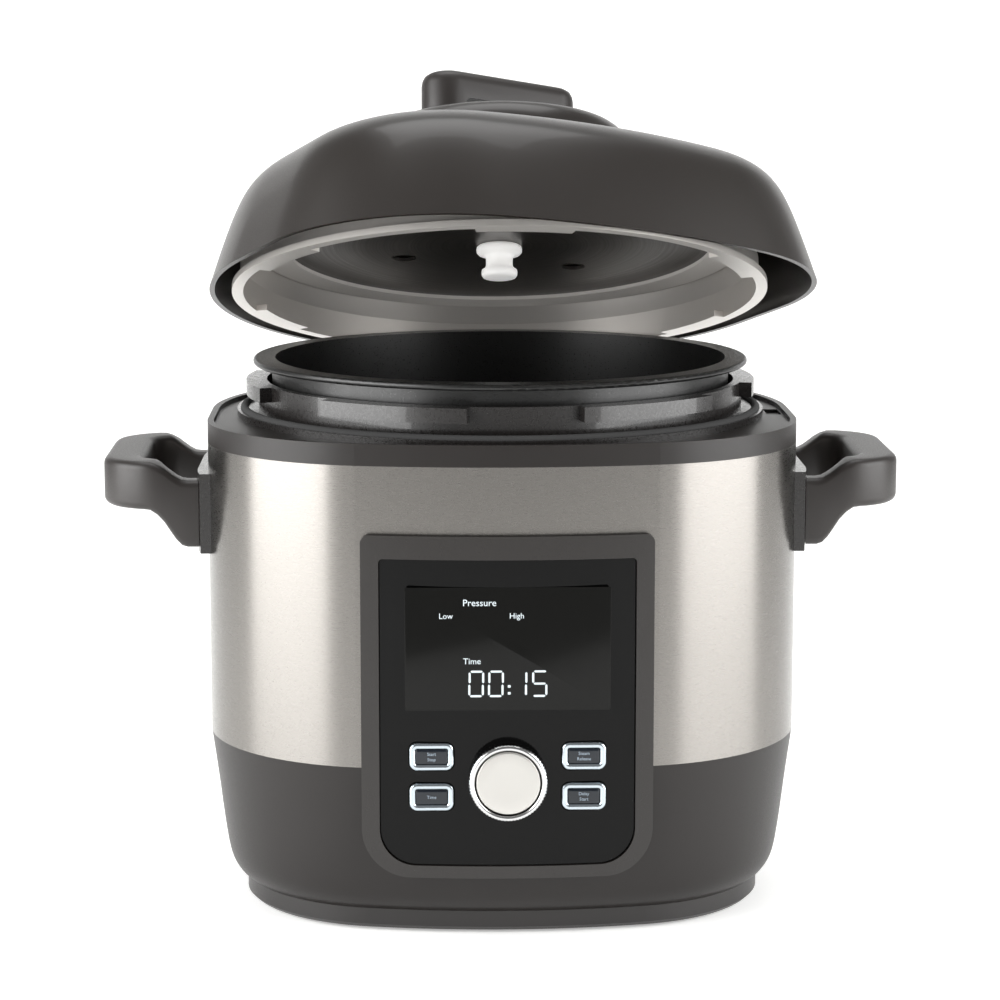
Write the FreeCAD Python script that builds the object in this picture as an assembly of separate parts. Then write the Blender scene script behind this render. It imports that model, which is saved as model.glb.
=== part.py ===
"""Electric pressure cooker, lid raised: one STEP file for each sub-part.

Millimetres, +Z up. The origin is on the floor, on the axis of the inner pot. The control panel
faces -Y and +X is to the right of somebody who stands in front of it. Angles called "bearings"
are measured at the pot axis, from the front towards +X.
"""
import FreeCAD, Part
import math
import os

V = FreeCAD.Vector
UP = V(0, 0, 1)
RIGHT = V(1, 0, 0)
BACK = V(0, 1, 0)
ORIGIN = V(0, 0, 0)

# ---------------------------------------------------------------- clearances
RUN = 0.05              # radial play of a pin or shaft that turns or slides in its hole
SEAT = 0.3              # play between pieces that nest but are not fits
CUT = 1.0               # how far a cutting tool runs past the face that it cuts

# ---------------------------------------------------------------- plan of the body
BODY_HALF_WIDTH = 140.0     # also the radius of the round back
BODY_FRONT_DEPTH = 134.0    # pot axis to the middle of the front
BODY_CORNER_R = 90.0        # front corners
BODY_FRONT_R = 330.0        # slight bow of the front

# ---------------------------------------------------------------- heights of the body
FOOT_HEIGHT = 1.5
BOTTOM_PLATE_HEIGHT = 9.5
BASE_HEIGHT = 71.0
WRAP_HEIGHT = 139.0
COVER_HEIGHT = 10.0

PLATE_BOTTOM_Z = FOOT_HEIGHT
BASE_BOTTOM_Z = PLATE_BOTTOM_Z + BOTTOM_PLATE_HEIGHT
BASE_TOP_Z = BASE_BOTTOM_Z + BASE_HEIGHT
WRAP_TOP_Z = BASE_TOP_Z + WRAP_HEIGHT
COVER_TOP_Z = WRAP_TOP_Z + COVER_HEIGHT

# ---------------------------------------------------------------- shells
BASE_WALL = 2.5
WRAP_WALL = 0.8
COVER_LIP_WIDTH = 3.0
COVER_DECK = 3.0            # thickness of the deck
COVER_DECK_DROP = 2.0       # deck top below the lip
SPIGOT_WALL = 2.0
SPIGOT_HEIGHT = 7.0
BOTTOM_WALL = 3.0
BASE_TAPER = ((0.0, 16.5), (0.056, 12.0), (0.155, 8.5), (0.352, 6.0), (0.69, 3.0), (1.0, 0.0))
BOTTOM_TAPER = ((0.0, 18.5), (0.2, 16.5), (1.0, 16.5))

# ---------------------------------------------------------------- feet and base screws
FOOT_R = 11.0
FOOT_STEM_R = 3.0
FOOT_X = 80.0
FOOT_FRONT_Y = -76.0
FOOT_REAR_Y = 62.0
BASE_SCREW_R = 2.0
BASE_SCREW_HEAD_R = 3.6
BASE_SCREW_HEAD = 2.2
BASE_SCREW_LENGTH = 12.0
BASE_BOSS_R = 5.0
BASE_SCREW_BEARINGS = (-68.0, 68.0, 180.0 - 68.0, 180.0 + 68.0)
BASE_SCREW_CIRCLE_R = BODY_HALF_WIDTH - 48.0
BASE_RIB_LENGTH = 36.0
BASE_RIB_WIDTH = 3.0
VENT_COUNT = 7
VENT_LENGTH = 44.0
VENT_WIDTH = 4.0
VENT_PITCH = 10.0

# ---------------------------------------------------------------- inner pot
POT_R = 111.0
POT_WALL = 1.6
POT_RIM_R = POT_R + 9.0
POT_RIM_HEIGHT = 3.0
POT_RIM_ABOVE_COVER = 25.5
POT_CORNER_R = 14.0
POT_BOTTOM_Z = 98.0
POT_HEIGHT = COVER_TOP_Z + POT_RIM_ABOVE_COVER - POT_BOTTOM_Z
POT_RIM_TOP_Z = POT_BOTTOM_Z + POT_HEIGHT

# ---------------------------------------------------------------- locking collar
COLLAR_BORE_PLAY = 2.5      # pot wall to the collar's bore
COLLAR_WALL = 4.0
COLLAR_FLANGE_WIDTH = 10.5
COLLAR_FLANGE_HEIGHT = 3.0
COLLAR_ABOVE_COVER = 15.0
LUG_COUNT = 6
LUG_REACH = 6.0
LUG_HEIGHT = 7.0
COLLAR_LUG_ANGLE = 35.0
LID_LUG_ANGLE = 21.0
LUG_PHASE = -26.0           # bearing of the first collar lug
COLLAR_SCREW_R = 1.5
COLLAR_SCREW_HEAD_R = 2.8
COLLAR_SCREW_HEAD = 1.8

COLLAR_BORE_R = POT_R + COLLAR_BORE_PLAY
COLLAR_R = COLLAR_BORE_R + COLLAR_WALL
COLLAR_FLANGE_R = COLLAR_R + COLLAR_FLANGE_WIDTH
COLLAR_LUG_R = COLLAR_R + LUG_REACH
COLLAR_TOP_Z = COVER_TOP_Z + COLLAR_ABOVE_COVER
COLLAR_LUG_Z = COLLAR_TOP_Z - LUG_HEIGHT
DECK_TOP_Z = COVER_TOP_Z - COVER_DECK_DROP
DECK_BOTTOM_Z = DECK_TOP_Z - COVER_DECK

# ---------------------------------------------------------------- slot in the deck at the right
POCKET_X = BODY_HALF_WIDTH - 7.5
POCKET_Y = -8.0
POCKET_WIDTH = 7.0
POCKET_LENGTH = 20.0
POCKET_DEPTH = 1.5

# ---------------------------------------------------------------- heater
SHIELD_WALL = 0.7
SHIELD_BOTTOM_Z = 66.0
SHIELD_FLANGE_WIDTH = 8.0
HEATER_R = POT_R - POT_CORNER_R - CUT
HEATER_THICKNESS = 13.7
HEATER_HOLE_R = 15.0
HEATER_TERMINAL_R = 2.5
HEATER_TERMINAL_X = 24.0
HEATER_TERMINAL_Y = 46.0
HEATER_TERMINAL_LENGTH = 10.0
SUPPORT_R = 5.0
SUPPORT_CIRCLE_R = HEATER_R - 16.0
SUPPORT_COUNT = 3
WIRE_HOLE_R = 14.0
WIRE_HOLE_Y = 62.0

SHIELD_R = COLLAR_R + SEAT + SHIELD_WALL
HEATER_TOP_Z = POT_BOTTOM_Z - SEAT
HEATER_BOTTOM_Z = HEATER_TOP_Z - HEATER_THICKNESS
SHIELD_FLOOR_Z = SHIELD_BOTTOM_Z + SHIELD_WALL

# ---------------------------------------------------------------- temperature sensor
SENSOR_R = 13.0
SENSOR_CAP_HEIGHT = 7.0
SENSOR_STEM_R = 5.0
SENSOR_STEM_LENGTH = 12.0
SENSOR_TRAVEL = 2.5
SPRING_WIRE_R = 0.8
SPRING_R = 7.0
SPRING_TURNS = 4

# ---------------------------------------------------------------- small heater parts
FUSE_R = 3.0
FUSE_LENGTH = 34.0
FUSE_AT = (-44.0, -34.0)
SWITCH_SIZE = (24.0, 14.0, 10.0)
SWITCH_AT = (46.0, -30.0)
SWITCH_PLUNGER_R = 2.5

# ---------------------------------------------------------------- control panel
PANEL_WIDTH = 133.0
PANEL_BOTTOM_Z = 32.0
PANEL_TOP_Z = 190.0
PANEL_TOP_R = 4.0
PANEL_BOTTOM_R = 22.0
PANEL_PROUD = 2.5           # bezel face in front of the steel
PANEL_FRAME_TOP = 11.0
PANEL_FRAME_SIDE = 8.5
PANEL_FRAME_BOTTOM = 6.0
LENS_RECESS = 1.5
LENS_THICKNESS = 2.0
LENS_SHELF = 2.5
LENS_BOTTOM_R = 16.0
LENS_TOP_R = 2.0
NECK_WALL = 3.0
NECK_DEPTH = 11.0
LCD_WIDTH = 93.0
LCD_HEIGHT = 56.5
LCD_Z = 138.5
LCD_THICKNESS = 3.6
BOARD_THICKNESS = 1.6
BOARD_WIDTH = 104.0
BOARD_MARGIN = 8.0

LENS_WIDTH = PANEL_WIDTH - 2 * PANEL_FRAME_SIDE
LENS_BOTTOM_Z = PANEL_BOTTOM_Z + PANEL_FRAME_BOTTOM
LENS_TOP_Z = PANEL_TOP_Z - PANEL_FRAME_TOP
LENS_OFFSET = LENS_RECESS - PANEL_PROUD
LENS_FACE_Y = -(BODY_FRONT_DEPTH - LENS_OFFSET)
BOARD_BACK_Y = -(SHIELD_R + 1.3)
BOARD_FACE_Y = BOARD_BACK_Y - BOARD_THICKNESS

# ---------------------------------------------------------------- push keys
KEY_WIDTH = 20.2
KEY_HEIGHT = 12.8
KEY_TRIM = 2.9
KEY_CORNER_R = 3.6
KEY_PROUD = 0.0             # key face in front of the lens at the middle of the panel
KEY_TRIM_DEPTH = 7.0
KEY_TRAVEL = 0.8
KEY_X = 34.6
KEY_UPPER_Z = 88.6
KEY_LOWER_Z = 69.8
KEY_GAP = 0.4
TACT_SIZE = 6.0
TACT_HEIGHT = 2.6

# ---------------------------------------------------------------- dial
DIAL_Z = 78.2
DIAL_R = 18.1
DIAL_RIM = 2.9
DIAL_GAP = 0.6
DIAL_PROUD = 9.0
DIAL_BACK_GAP = 0.5
DIAL_WEB = 1.6
DIAL_SLEEVE_R = 7.0
PLUNGER_R = 4.15
FACE_THICKNESS = 3.6
FACE_SINK = 0.8
DIAL_TRAVEL = 1.0
ENCODER_SIZE = 16.0
ENCODER_DEPTH = 4.0

# ---------------------------------------------------------------- power electronics
POWER_BOARD_SIZE = (116.0, 74.0, 1.6)
POWER_BOARD_Y = 8.0
POWER_BOARD_STANDOFF = 16.0
STANDOFF_R = 3.5
RELAY_SIZE = (19.0, 15.0, 16.0)
RELAY_AT = (-36.0, 24.0)
TRANSFORMER_SIZE = (30.0, 26.0, 20.0)
TRANSFORMER_AT = (8.0, -9.0)
CAPACITOR_SIZE = (18.0, 9.0, 14.0)
CAPACITOR_AT = (42.0, -8.0)

# ---------------------------------------------------------------- mains inlet
INLET_Z = 46.0
INLET_SIZE = (29.0, 21.0)
INLET_FLANGE = 4.0
INLET_FLANGE_THICKNESS = 3.0
INLET_DEPTH = 28.0
INLET_WALL = 2.5
INLET_CAVITY_DEPTH = 22.0
INLET_Y = BODY_HALF_WIDTH - 5.5
PIN_SIZE = (2.0, 4.0)
PIN_LENGTH = 16.0
PIN_PITCH = 7.0
PIN_DROP = 4.0

# ---------------------------------------------------------------- wires
WIRE_R = 1.6
WIRE_BEND_SHARE = 0.45      # share of the shorter run that an arc takes up
SUPPLY_SPREAD = 2.2         # how far the mains wires fan out, times their pitch
SUPPLY_LANDING = 5.0        # board edge to where the mains wires end
HEATER_LANDING_X = 44.0
RIBBON_WIDTH = 14.0
RIBBON_THICKNESS = 1.2
RIBBON_OVERLAP = 6.0        # how far it reaches over the power board

# ---------------------------------------------------------------- side handles
HANDLE_REACH = BODY_HALF_WIDTH + 51.0   # pot axis to the outside of the grip
HANDLE_HALF_LENGTH = 54.0
HANDLE_CORNER_R = 30.0
GRIP_WIDTH = 19.0
RAIL_WIDTH = 14.0
HANDLE_HOLE_R = 18.0
GRIP_BOTTOM_Z = 189.0
GRIP_TOP_Z = 212.0
ROOT_BOTTOM_Z = 171.0
ROOT_TOP_Z = 203.0
ROOT_LENGTH = 13.0          # flat length of the arm next to the body
STEP_LENGTH = 12.0          # length of the S-step between the arm and the grip
GRIP_ROUND_R = 5.0
HANDLE_PLATE_THICKNESS = 5.0
HANDLE_PLATE_MARGIN = 4.0
HANDLE_SCREW_R = 2.0
HANDLE_SCREW_HEAD_R = 4.0
HANDLE_SCREW_HEAD = 2.4
HANDLE_SCREW_Y = 20.0
HANDLE_SCREW_LENGTH = 9.0

# ---------------------------------------------------------------- condensate cup
CUP_WIDTH = 60.0
CUP_DEPTH = 21.0
CUP_HEIGHT = 54.0
CUP_WALL = 1.6
CUP_CORNER_R = 4.0
CUP_BOTTOM_Z = 130.0
CUP_PLAY = 0.5
CUP_HEADROOM = 4.0
SOCKET_DEPTH = 15.5         # how deep the socket reaches into the body
SOCKET_WALL = 2.0
SOCKET_LIP = 3.5
SOCKET_LIP_THICKNESS = 1.5

# ---------------------------------------------------------------- lid
LID_ABOVE_COVER = 3.5       # closed lid: rim plane above the top cover
LID_TILT = 19.0             # how far the raised lid is tipped back
LID_PIVOT_Y = BODY_HALF_WIDTH + 16.0   # line about which the raised lid swings shut
LID_LOCK_TURN = 28.0
LID_RIM_R = 130.5
LID_SHEET = 1.5
LID_RIM_HEIGHT = 3.0
LID_BAYONET_HEIGHT = 14.0
LID_CONE_TOP = 24.0
LID_TOP_PLATE = 29.7
LID_LUG_PLAY = 2.0          # lid lug to the collar wall
LID_LUG_CLEAR = 1.5         # collar lug to the lid's bayonet wall
LID_CONE_PLAY = 0.8         # pot rim to the lid's upper wall
SHELL_WALL = 2.5
SHELL_SKIRT_DROP = 2.0
SHELL_TOP = 70.0
SHELL_TAPER = (
    (0.00, -1.5), (0.31, 4.8), (0.53, 10.5), (0.68, 16.0),
    (0.79, 22.5), (0.875, 32.0), (0.945, 46.0), (1.0, 66.0),
)
SHELL_BOSS_R = 5.0
SHELL_BOSS_CIRCLE_R = 92.0
SHELL_BOSS_COUNT = 3
CAP_R = 66.0
CAP_HEIGHT = 11.0
CAP_EDGE_R = 4.0
LID_HANDLE_LENGTH = 82.0
LID_HANDLE_WIDTH = 26.0
LID_HANDLE_THICKNESS = 8.0
LID_HANDLE_GAP = 18.0
LID_POST_LENGTH = 16.0
LID_HANDLE_EDGE_R = 3.0
LID_SCREW_R = 2.0
LID_SCREW_HEAD_R = 4.0
LID_SCREW_HEAD = 2.4
LID_SCREW_LENGTH = 26.0

# ---------------------------------------------------------------- seal
SEAL_WIDTH = 15.5
SEAL_OVERHANG = 0.3         # seal inside the pot rim's outer edge
SEAL_HEIGHT = 5.2
SEAL_PLATE_R = POT_RIM_R - 12.0
SEAL_PLATE_WALL = 1.6
STUD_R = 4.25
STUD_HEAD_R = 7.5
STUD_HEAD = 2.0
KNOB_TOP_R = 11.2
KNOB_STEM_R = 6.6
KNOB_BOTTOM_R = 8.8
KNOB_HEIGHT = 16.0
KNOB_FLANGE = 4.4

# ---------------------------------------------------------------- valves in the lid
VALVE_CIRCLE_R = 52.0
VALVE_BEARING = 126.0 + 90.0
VALVE_KNOB_R = 11.0
VALVE_KNOB_HEIGHT = 12.0
VALVE_STEM_R = 4.0
VALVE_STEM_LENGTH = 26.0
VALVE_PIPE_R = 6.0
VALVE_PIPE_BORE_R = 2.5
FLOAT_CIRCLE_R = 56.0
FLOAT_BEARING = 19.0 + 90.0
FLOAT_R = 3.0
FLOAT_HEAD_R = 4.5
FLOAT_HEAD = 1.5
FLOAT_SINK = 1.0
FLOAT_TRAVEL = 5.0
PLATE_PORT_R = 6.0

LID_SEAT_Z = COVER_TOP_Z + LID_ABOVE_COVER
LID_LUG_R = COLLAR_R + LID_LUG_PLAY
LID_BAYONET_R = COLLAR_LUG_R + LID_LUG_CLEAR
CAP_TOP = SHELL_TOP + CAP_HEIGHT
SEAL_BOTTOM = POT_RIM_TOP_Z + SEAT - LID_SEAT_Z
SEAL_R = POT_RIM_R - SEAL_OVERHANG
SEAL_PLATE_BOTTOM = SEAL_BOTTOM + (SEAL_HEIGHT - SEAL_PLATE_WALL) / 2
SEAL_PLATE_TOP = SEAL_PLATE_BOTTOM + SEAL_PLATE_WALL
LID_SCREW_POINTS = tuple(
    (side * (LID_HANDLE_LENGTH - LID_POST_LENGTH) / 2, 0.0) for side in (-1, 1)
)


# ================================================================ general shapes
def polar(radius, bearing):
    """Return the (x, y) at a radius and a bearing from the front towards +X."""
    angle = math.radians(bearing - 90.0)
    return radius * math.cos(angle), radius * math.sin(angle)


def disc(radius, z0, z1, centre=(0.0, 0.0)):
    """Return an upright cylinder between two heights."""
    return Part.makeCylinder(radius, z1 - z0, V(centre[0], centre[1], z0))


def ring(outer, inner, z0, z1, centre=(0.0, 0.0)):
    """Return an upright tube between two heights."""
    bore = disc(inner, z0 - CUT, z1 + CUT, centre)
    return disc(outer, z0, z1, centre).cut(bore)


def block(size, centre, z0):
    """Return a box of (x, y, z) size, centred on (x, y) and standing at z0."""
    corner = V(centre[0] - size[0] / 2, centre[1] - size[1] / 2, z0)
    return Part.makeBox(size[0], size[1], size[2], corner)


def rod_y(radius, y0, y1, x, z):
    """Return a cylinder along Y between two depths."""
    return Part.makeCylinder(radius, y1 - y0, V(x, y0, z), BACK)


def sector(outer, inner, z0, z1, bearing, width):
    """Return the part of a tube inside one angle, centred on a bearing."""
    wedge = Part.makeCylinder(outer, z1 - z0, V(0, 0, z0), UP, width)
    wedge.rotate(ORIGIN, UP, bearing - 90.0 - width / 2)
    return wedge.cut(disc(inner, z0 - CUT, z1 + CUT))


def joined(shapes):
    """Return the shapes fused into one solid, with split faces merged."""
    solid = shapes[0]
    for shape in shapes[1:]:
        solid = solid.fuse(shape)
    return solid.removeSplitter()


def rounded_prism(x0, x1, z0, z1, top_r, bottom_r, y0, y1):
    """Return a panel along Y: a rectangle in XZ with rounded top and bottom corners."""
    prism = Part.makeBox(x1 - x0, y1 - y0, z1 - z0, V(x0, y0, z0))
    prism = prism.makeFillet(top_r, depth_edges(prism, z1, y0, y1))
    return prism.makeFillet(bottom_r, depth_edges(prism, z0, y0, y1))


def depth_edges(shape, z, y0, y1):
    """Return the edges that run along Y at a height."""
    middle_y = (y0 + y1) / 2
    return [
        edge for edge in shape.Edges
        if abs(edge.Length - (y1 - y0)) < RUN
        and abs(edge.CenterOfMass.y - middle_y) < RUN
        and abs(edge.CenterOfMass.z - z) < RUN
    ]


def rounded_block(size, centre, z0, radius):
    """Return a box whose upright edges are rounded."""
    shape = block(size, centre, z0)
    upright = [e for e in shape.Edges if e.BoundBox.XLength + e.BoundBox.YLength < RUN]
    return shape.makeFillet(radius, upright)


# ================================================================ the D-shaped plan
def plan_wire(inset, z):
    """Return the body's outline, moved inwards by an inset, at a height."""
    side_r = BODY_HALF_WIDTH - inset
    corner_r = BODY_CORNER_R - inset
    front_r = BODY_FRONT_R - inset
    corner_x = BODY_HALF_WIDTH - BODY_CORNER_R
    front_y = BODY_FRONT_R - BODY_FRONT_DEPTH
    reach = BODY_FRONT_R - BODY_CORNER_R
    corner_y = front_y - math.sqrt(reach ** 2 - corner_x ** 2)
    join_angle = math.atan2(corner_y - front_y, corner_x)
    middle_angle = join_angle / 2
    side = V(side_r, 0, z)
    side_front = V(side_r, corner_y, z)
    corner_mid = V(corner_x, corner_y, z) + V(math.cos(middle_angle), math.sin(middle_angle), 0) * corner_r
    front = V(0, front_y, z) + V(math.cos(join_angle), math.sin(join_angle), 0) * front_r
    tip = V(0, front_y - front_r, z)
    edges = [
        Part.Arc(side, V(0, side_r, z), flipped(side)).toShape(),
        Part.makeLine(flipped(side), flipped(side_front)),
        Part.Arc(flipped(side_front), flipped(corner_mid), flipped(front)).toShape(),
        Part.Arc(flipped(front), tip, front).toShape(),
        Part.Arc(front, corner_mid, side_front).toShape(),
        Part.makeLine(side_front, side),
    ]
    return Part.Wire(edges)


def flipped(point):
    """Return a point mirrored to the other side of the object."""
    return V(-point.x, point.y, point.z)


def plan_prism(inset, z0, z1):
    """Return the body's plan as an upright prism."""
    return Part.Face(plan_wire(inset, z0)).extrude(V(0, 0, z1 - z0))


def plan_band(outer_inset, inner_inset, z0, z1):
    """Return a wall that follows the body's plan."""
    return plan_prism(outer_inset, z0, z1).cut(plan_prism(inner_inset, z0 - CUT, z1 + CUT))


def plan_stack(z0, z1, taper, extra=0.0):
    """Return a solid whose plan shrinks with height: taper holds (share of height, inset)."""
    wires = [plan_wire(inset + extra, z0 + share * (z1 - z0)) for share, inset in taper]
    return Part.makeLoft(wires, True, True)


# ================================================================ placing and writing
def raised(shape):
    """Return a lid piece, modelled about its own rim plane, in its raised place."""
    lifted = shape.copy()
    lifted.rotate(ORIGIN, UP, LID_LOCK_TURN)
    lifted.translate(V(0, 0, LID_SEAT_Z))
    lifted.rotate(V(0, LID_PIVOT_Y, LID_SEAT_Z), RIGHT, -LID_TILT)
    return lifted


def write(node, *shapes):
    """Write one node: a single solid, or a group of separate solids."""
    shape = shapes[0] if len(shapes) == 1 else Part.makeCompound(list(shapes))
    shape.exportStep("parts/%s.step" % node)


# ================================================================ base
def base_shapes():
    """Write the base housing, bottom plate, feet and the screws that hold them."""
    outer = plan_stack(BASE_BOTTOM_Z, BASE_TOP_Z, BASE_TAPER)
    inner = plan_stack(BASE_BOTTOM_Z, BASE_TOP_Z, BASE_TAPER, BASE_WALL)
    shelf = WRAP_WALL + SEAT
    spigot = plan_band(shelf, shelf + SPIGOT_WALL, BASE_TOP_Z - BASE_WALL, BASE_TOP_Z + SPIGOT_HEIGHT)
    housing = outer.cut(inner).fuse(spigot)
    boss_top = BASE_BOTTOM_Z + BASE_HEIGHT / 3
    for bearing in BASE_SCREW_BEARINGS:
        at = polar(BASE_SCREW_CIRCLE_R, bearing)
        rib_at = (at[0] + math.copysign(BASE_RIB_LENGTH / 2, at[0]), at[1])
        rib = block((BASE_RIB_LENGTH, BASE_RIB_WIDTH, boss_top - BASE_BOTTOM_Z), rib_at, BASE_BOTTOM_Z)
        housing = housing.fuse(rib.common(outer))
        housing = housing.fuse(disc(BASE_BOSS_R, PLATE_BOTTOM_Z + BOTTOM_WALL, boss_top, at))
        housing = housing.cut(disc(BASE_SCREW_R, PLATE_BOTTOM_Z, PLATE_BOTTOM_Z + BASE_SCREW_LENGTH, at))
    housing = housing.cut(panel_neck(SEAT))
    housing = housing.cut(inlet_hole())
    write("base_housing", housing)

    plate = plan_stack(PLATE_BOTTOM_Z, BASE_BOTTOM_Z, BOTTOM_TAPER)
    tray = plan_prism(BOTTOM_TAPER[1][1] + BOTTOM_WALL, PLATE_BOTTOM_Z + BOTTOM_WALL, BASE_BOTTOM_Z + CUT)
    plate = plate.cut(tray)
    for sx in (-1, 1):
        for sy in (-1, 1):
            x = sx * (POWER_BOARD_SIZE[0] / 2 - STANDOFF_R)
            y = POWER_BOARD_Y + sy * (POWER_BOARD_SIZE[1] / 2 - STANDOFF_R)
            top = PLATE_BOTTOM_Z + BOTTOM_WALL + POWER_BOARD_STANDOFF
            plate = plate.fuse(disc(STANDOFF_R, PLATE_BOTTOM_Z + BOTTOM_WALL / 2, top, (x, y)))
    vent_size = (VENT_LENGTH, VENT_WIDTH, BOTTOM_WALL + 2 * CUT)
    for i in range(VENT_COUNT):
        y = (i - (VENT_COUNT - 1) / 2) * VENT_PITCH
        plate = plate.cut(rounded_block(vent_size, (0, y), PLATE_BOTTOM_Z - CUT, VENT_WIDTH / 2 - RUN))
    feet = []
    for x in (-FOOT_X, FOOT_X):
        for y in (FOOT_FRONT_Y, FOOT_REAR_Y):
            pad = disc(FOOT_R, 0, PLATE_BOTTOM_Z, (x, y))
            pad = pad.makeChamfer(1.0, [e for e in pad.Edges if e.BoundBox.ZMax < RUN])
            stem = disc(FOOT_STEM_R, PLATE_BOTTOM_Z - CUT, PLATE_BOTTOM_Z + BOTTOM_WALL, (x, y))
            feet.append(pad.fuse(stem))
            plate = plate.cut(stem)
    screws = []
    for bearing in BASE_SCREW_BEARINGS:
        at = polar(BASE_SCREW_CIRCLE_R, bearing)
        well = disc(BASE_SCREW_HEAD_R + SEAT, PLATE_BOTTOM_Z - CUT, PLATE_BOTTOM_Z + BASE_SCREW_HEAD, at)
        hole = disc(BASE_SCREW_R, PLATE_BOTTOM_Z, BASE_BOTTOM_Z, at)
        plate = plate.cut(well).cut(hole)
        head = disc(BASE_SCREW_HEAD_R, PLATE_BOTTOM_Z, PLATE_BOTTOM_Z + BASE_SCREW_HEAD, at)
        shank = disc(BASE_SCREW_R, PLATE_BOTTOM_Z + CUT, PLATE_BOTTOM_Z + BASE_SCREW_LENGTH, at)
        screws.append(head.fuse(shank))
    write("bottom_plate", plate)
    write("feet", *feet)
    write("base_screws", *screws)


# ================================================================ steel wrap and top cover
def wrap_and_cover():
    """Write the steel wrap, the top cover, the collar and the collar's screws."""
    wrap = plan_band(0.0, WRAP_WALL, BASE_TOP_Z, WRAP_TOP_Z)
    wrap = wrap.cut(panel_neck(SEAT)).cut(cup_recess(SEAT))
    for side in (-1, 1):
        for shank in handle_rods(side, HANDLE_SCREW_R, 0.0, HANDLE_SCREW_LENGTH):
            wrap = wrap.cut(shank)
    write("steel_wrap", wrap)

    cover = plan_prism(0.0, WRAP_TOP_Z, COVER_TOP_Z)
    cover = cover.cut(plan_prism(COVER_LIP_WIDTH, DECK_TOP_Z, COVER_TOP_Z + CUT))
    cover = cover.cut(plan_prism(COVER_LIP_WIDTH, WRAP_TOP_Z - CUT, DECK_BOTTOM_Z))
    shelf = WRAP_WALL + SEAT
    spigot = plan_band(shelf, COVER_LIP_WIDTH, WRAP_TOP_Z - SPIGOT_HEIGHT, WRAP_TOP_Z + CUT)
    cover = cover.fuse(spigot)
    cover = cover.cut(disc(COLLAR_R + SEAT, DECK_BOTTOM_Z - CUT, COVER_TOP_Z + CUT))
    pocket_size = (POCKET_WIDTH, POCKET_LENGTH, POCKET_DEPTH + CUT)
    cover = cover.cut(block(pocket_size, (POCKET_X, POCKET_Y), DECK_TOP_Z - POCKET_DEPTH))

    collar = ring(COLLAR_R, COLLAR_BORE_R, DECK_BOTTOM_Z, COLLAR_TOP_Z)
    collar = collar.fuse(ring(COLLAR_FLANGE_R, COLLAR_BORE_R, DECK_TOP_Z, DECK_TOP_Z + COLLAR_FLANGE_HEIGHT))
    for i in range(LUG_COUNT):
        bearing = LUG_PHASE + i * 360.0 / LUG_COUNT
        lug = sector(COLLAR_LUG_R, COLLAR_BORE_R + CUT, COLLAR_LUG_Z, COLLAR_TOP_Z, bearing, COLLAR_LUG_ANGLE)
        collar = collar.fuse(lug)
    collar = collar.removeSplitter()

    screws = []
    for i in range(LUG_COUNT):
        at = polar((COLLAR_R + COLLAR_FLANGE_R) / 2, LUG_PHASE + i * 360.0 / LUG_COUNT)
        top = DECK_TOP_Z + COLLAR_FLANGE_HEIGHT - CUT
        under = DECK_BOTTOM_Z - SHIELD_WALL
        hole = disc(COLLAR_SCREW_R, under - CUT, top, at)
        cover = cover.cut(hole)
        collar = collar.cut(hole)
        head = disc(COLLAR_SCREW_HEAD_R, under - COLLAR_SCREW_HEAD, under, at)
        screws.append(head.fuse(disc(COLLAR_SCREW_R, under - CUT, top, at)))
    write("top_cover", cover)
    write("locking_collar", collar)
    write("collar_screws", *screws)


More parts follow.
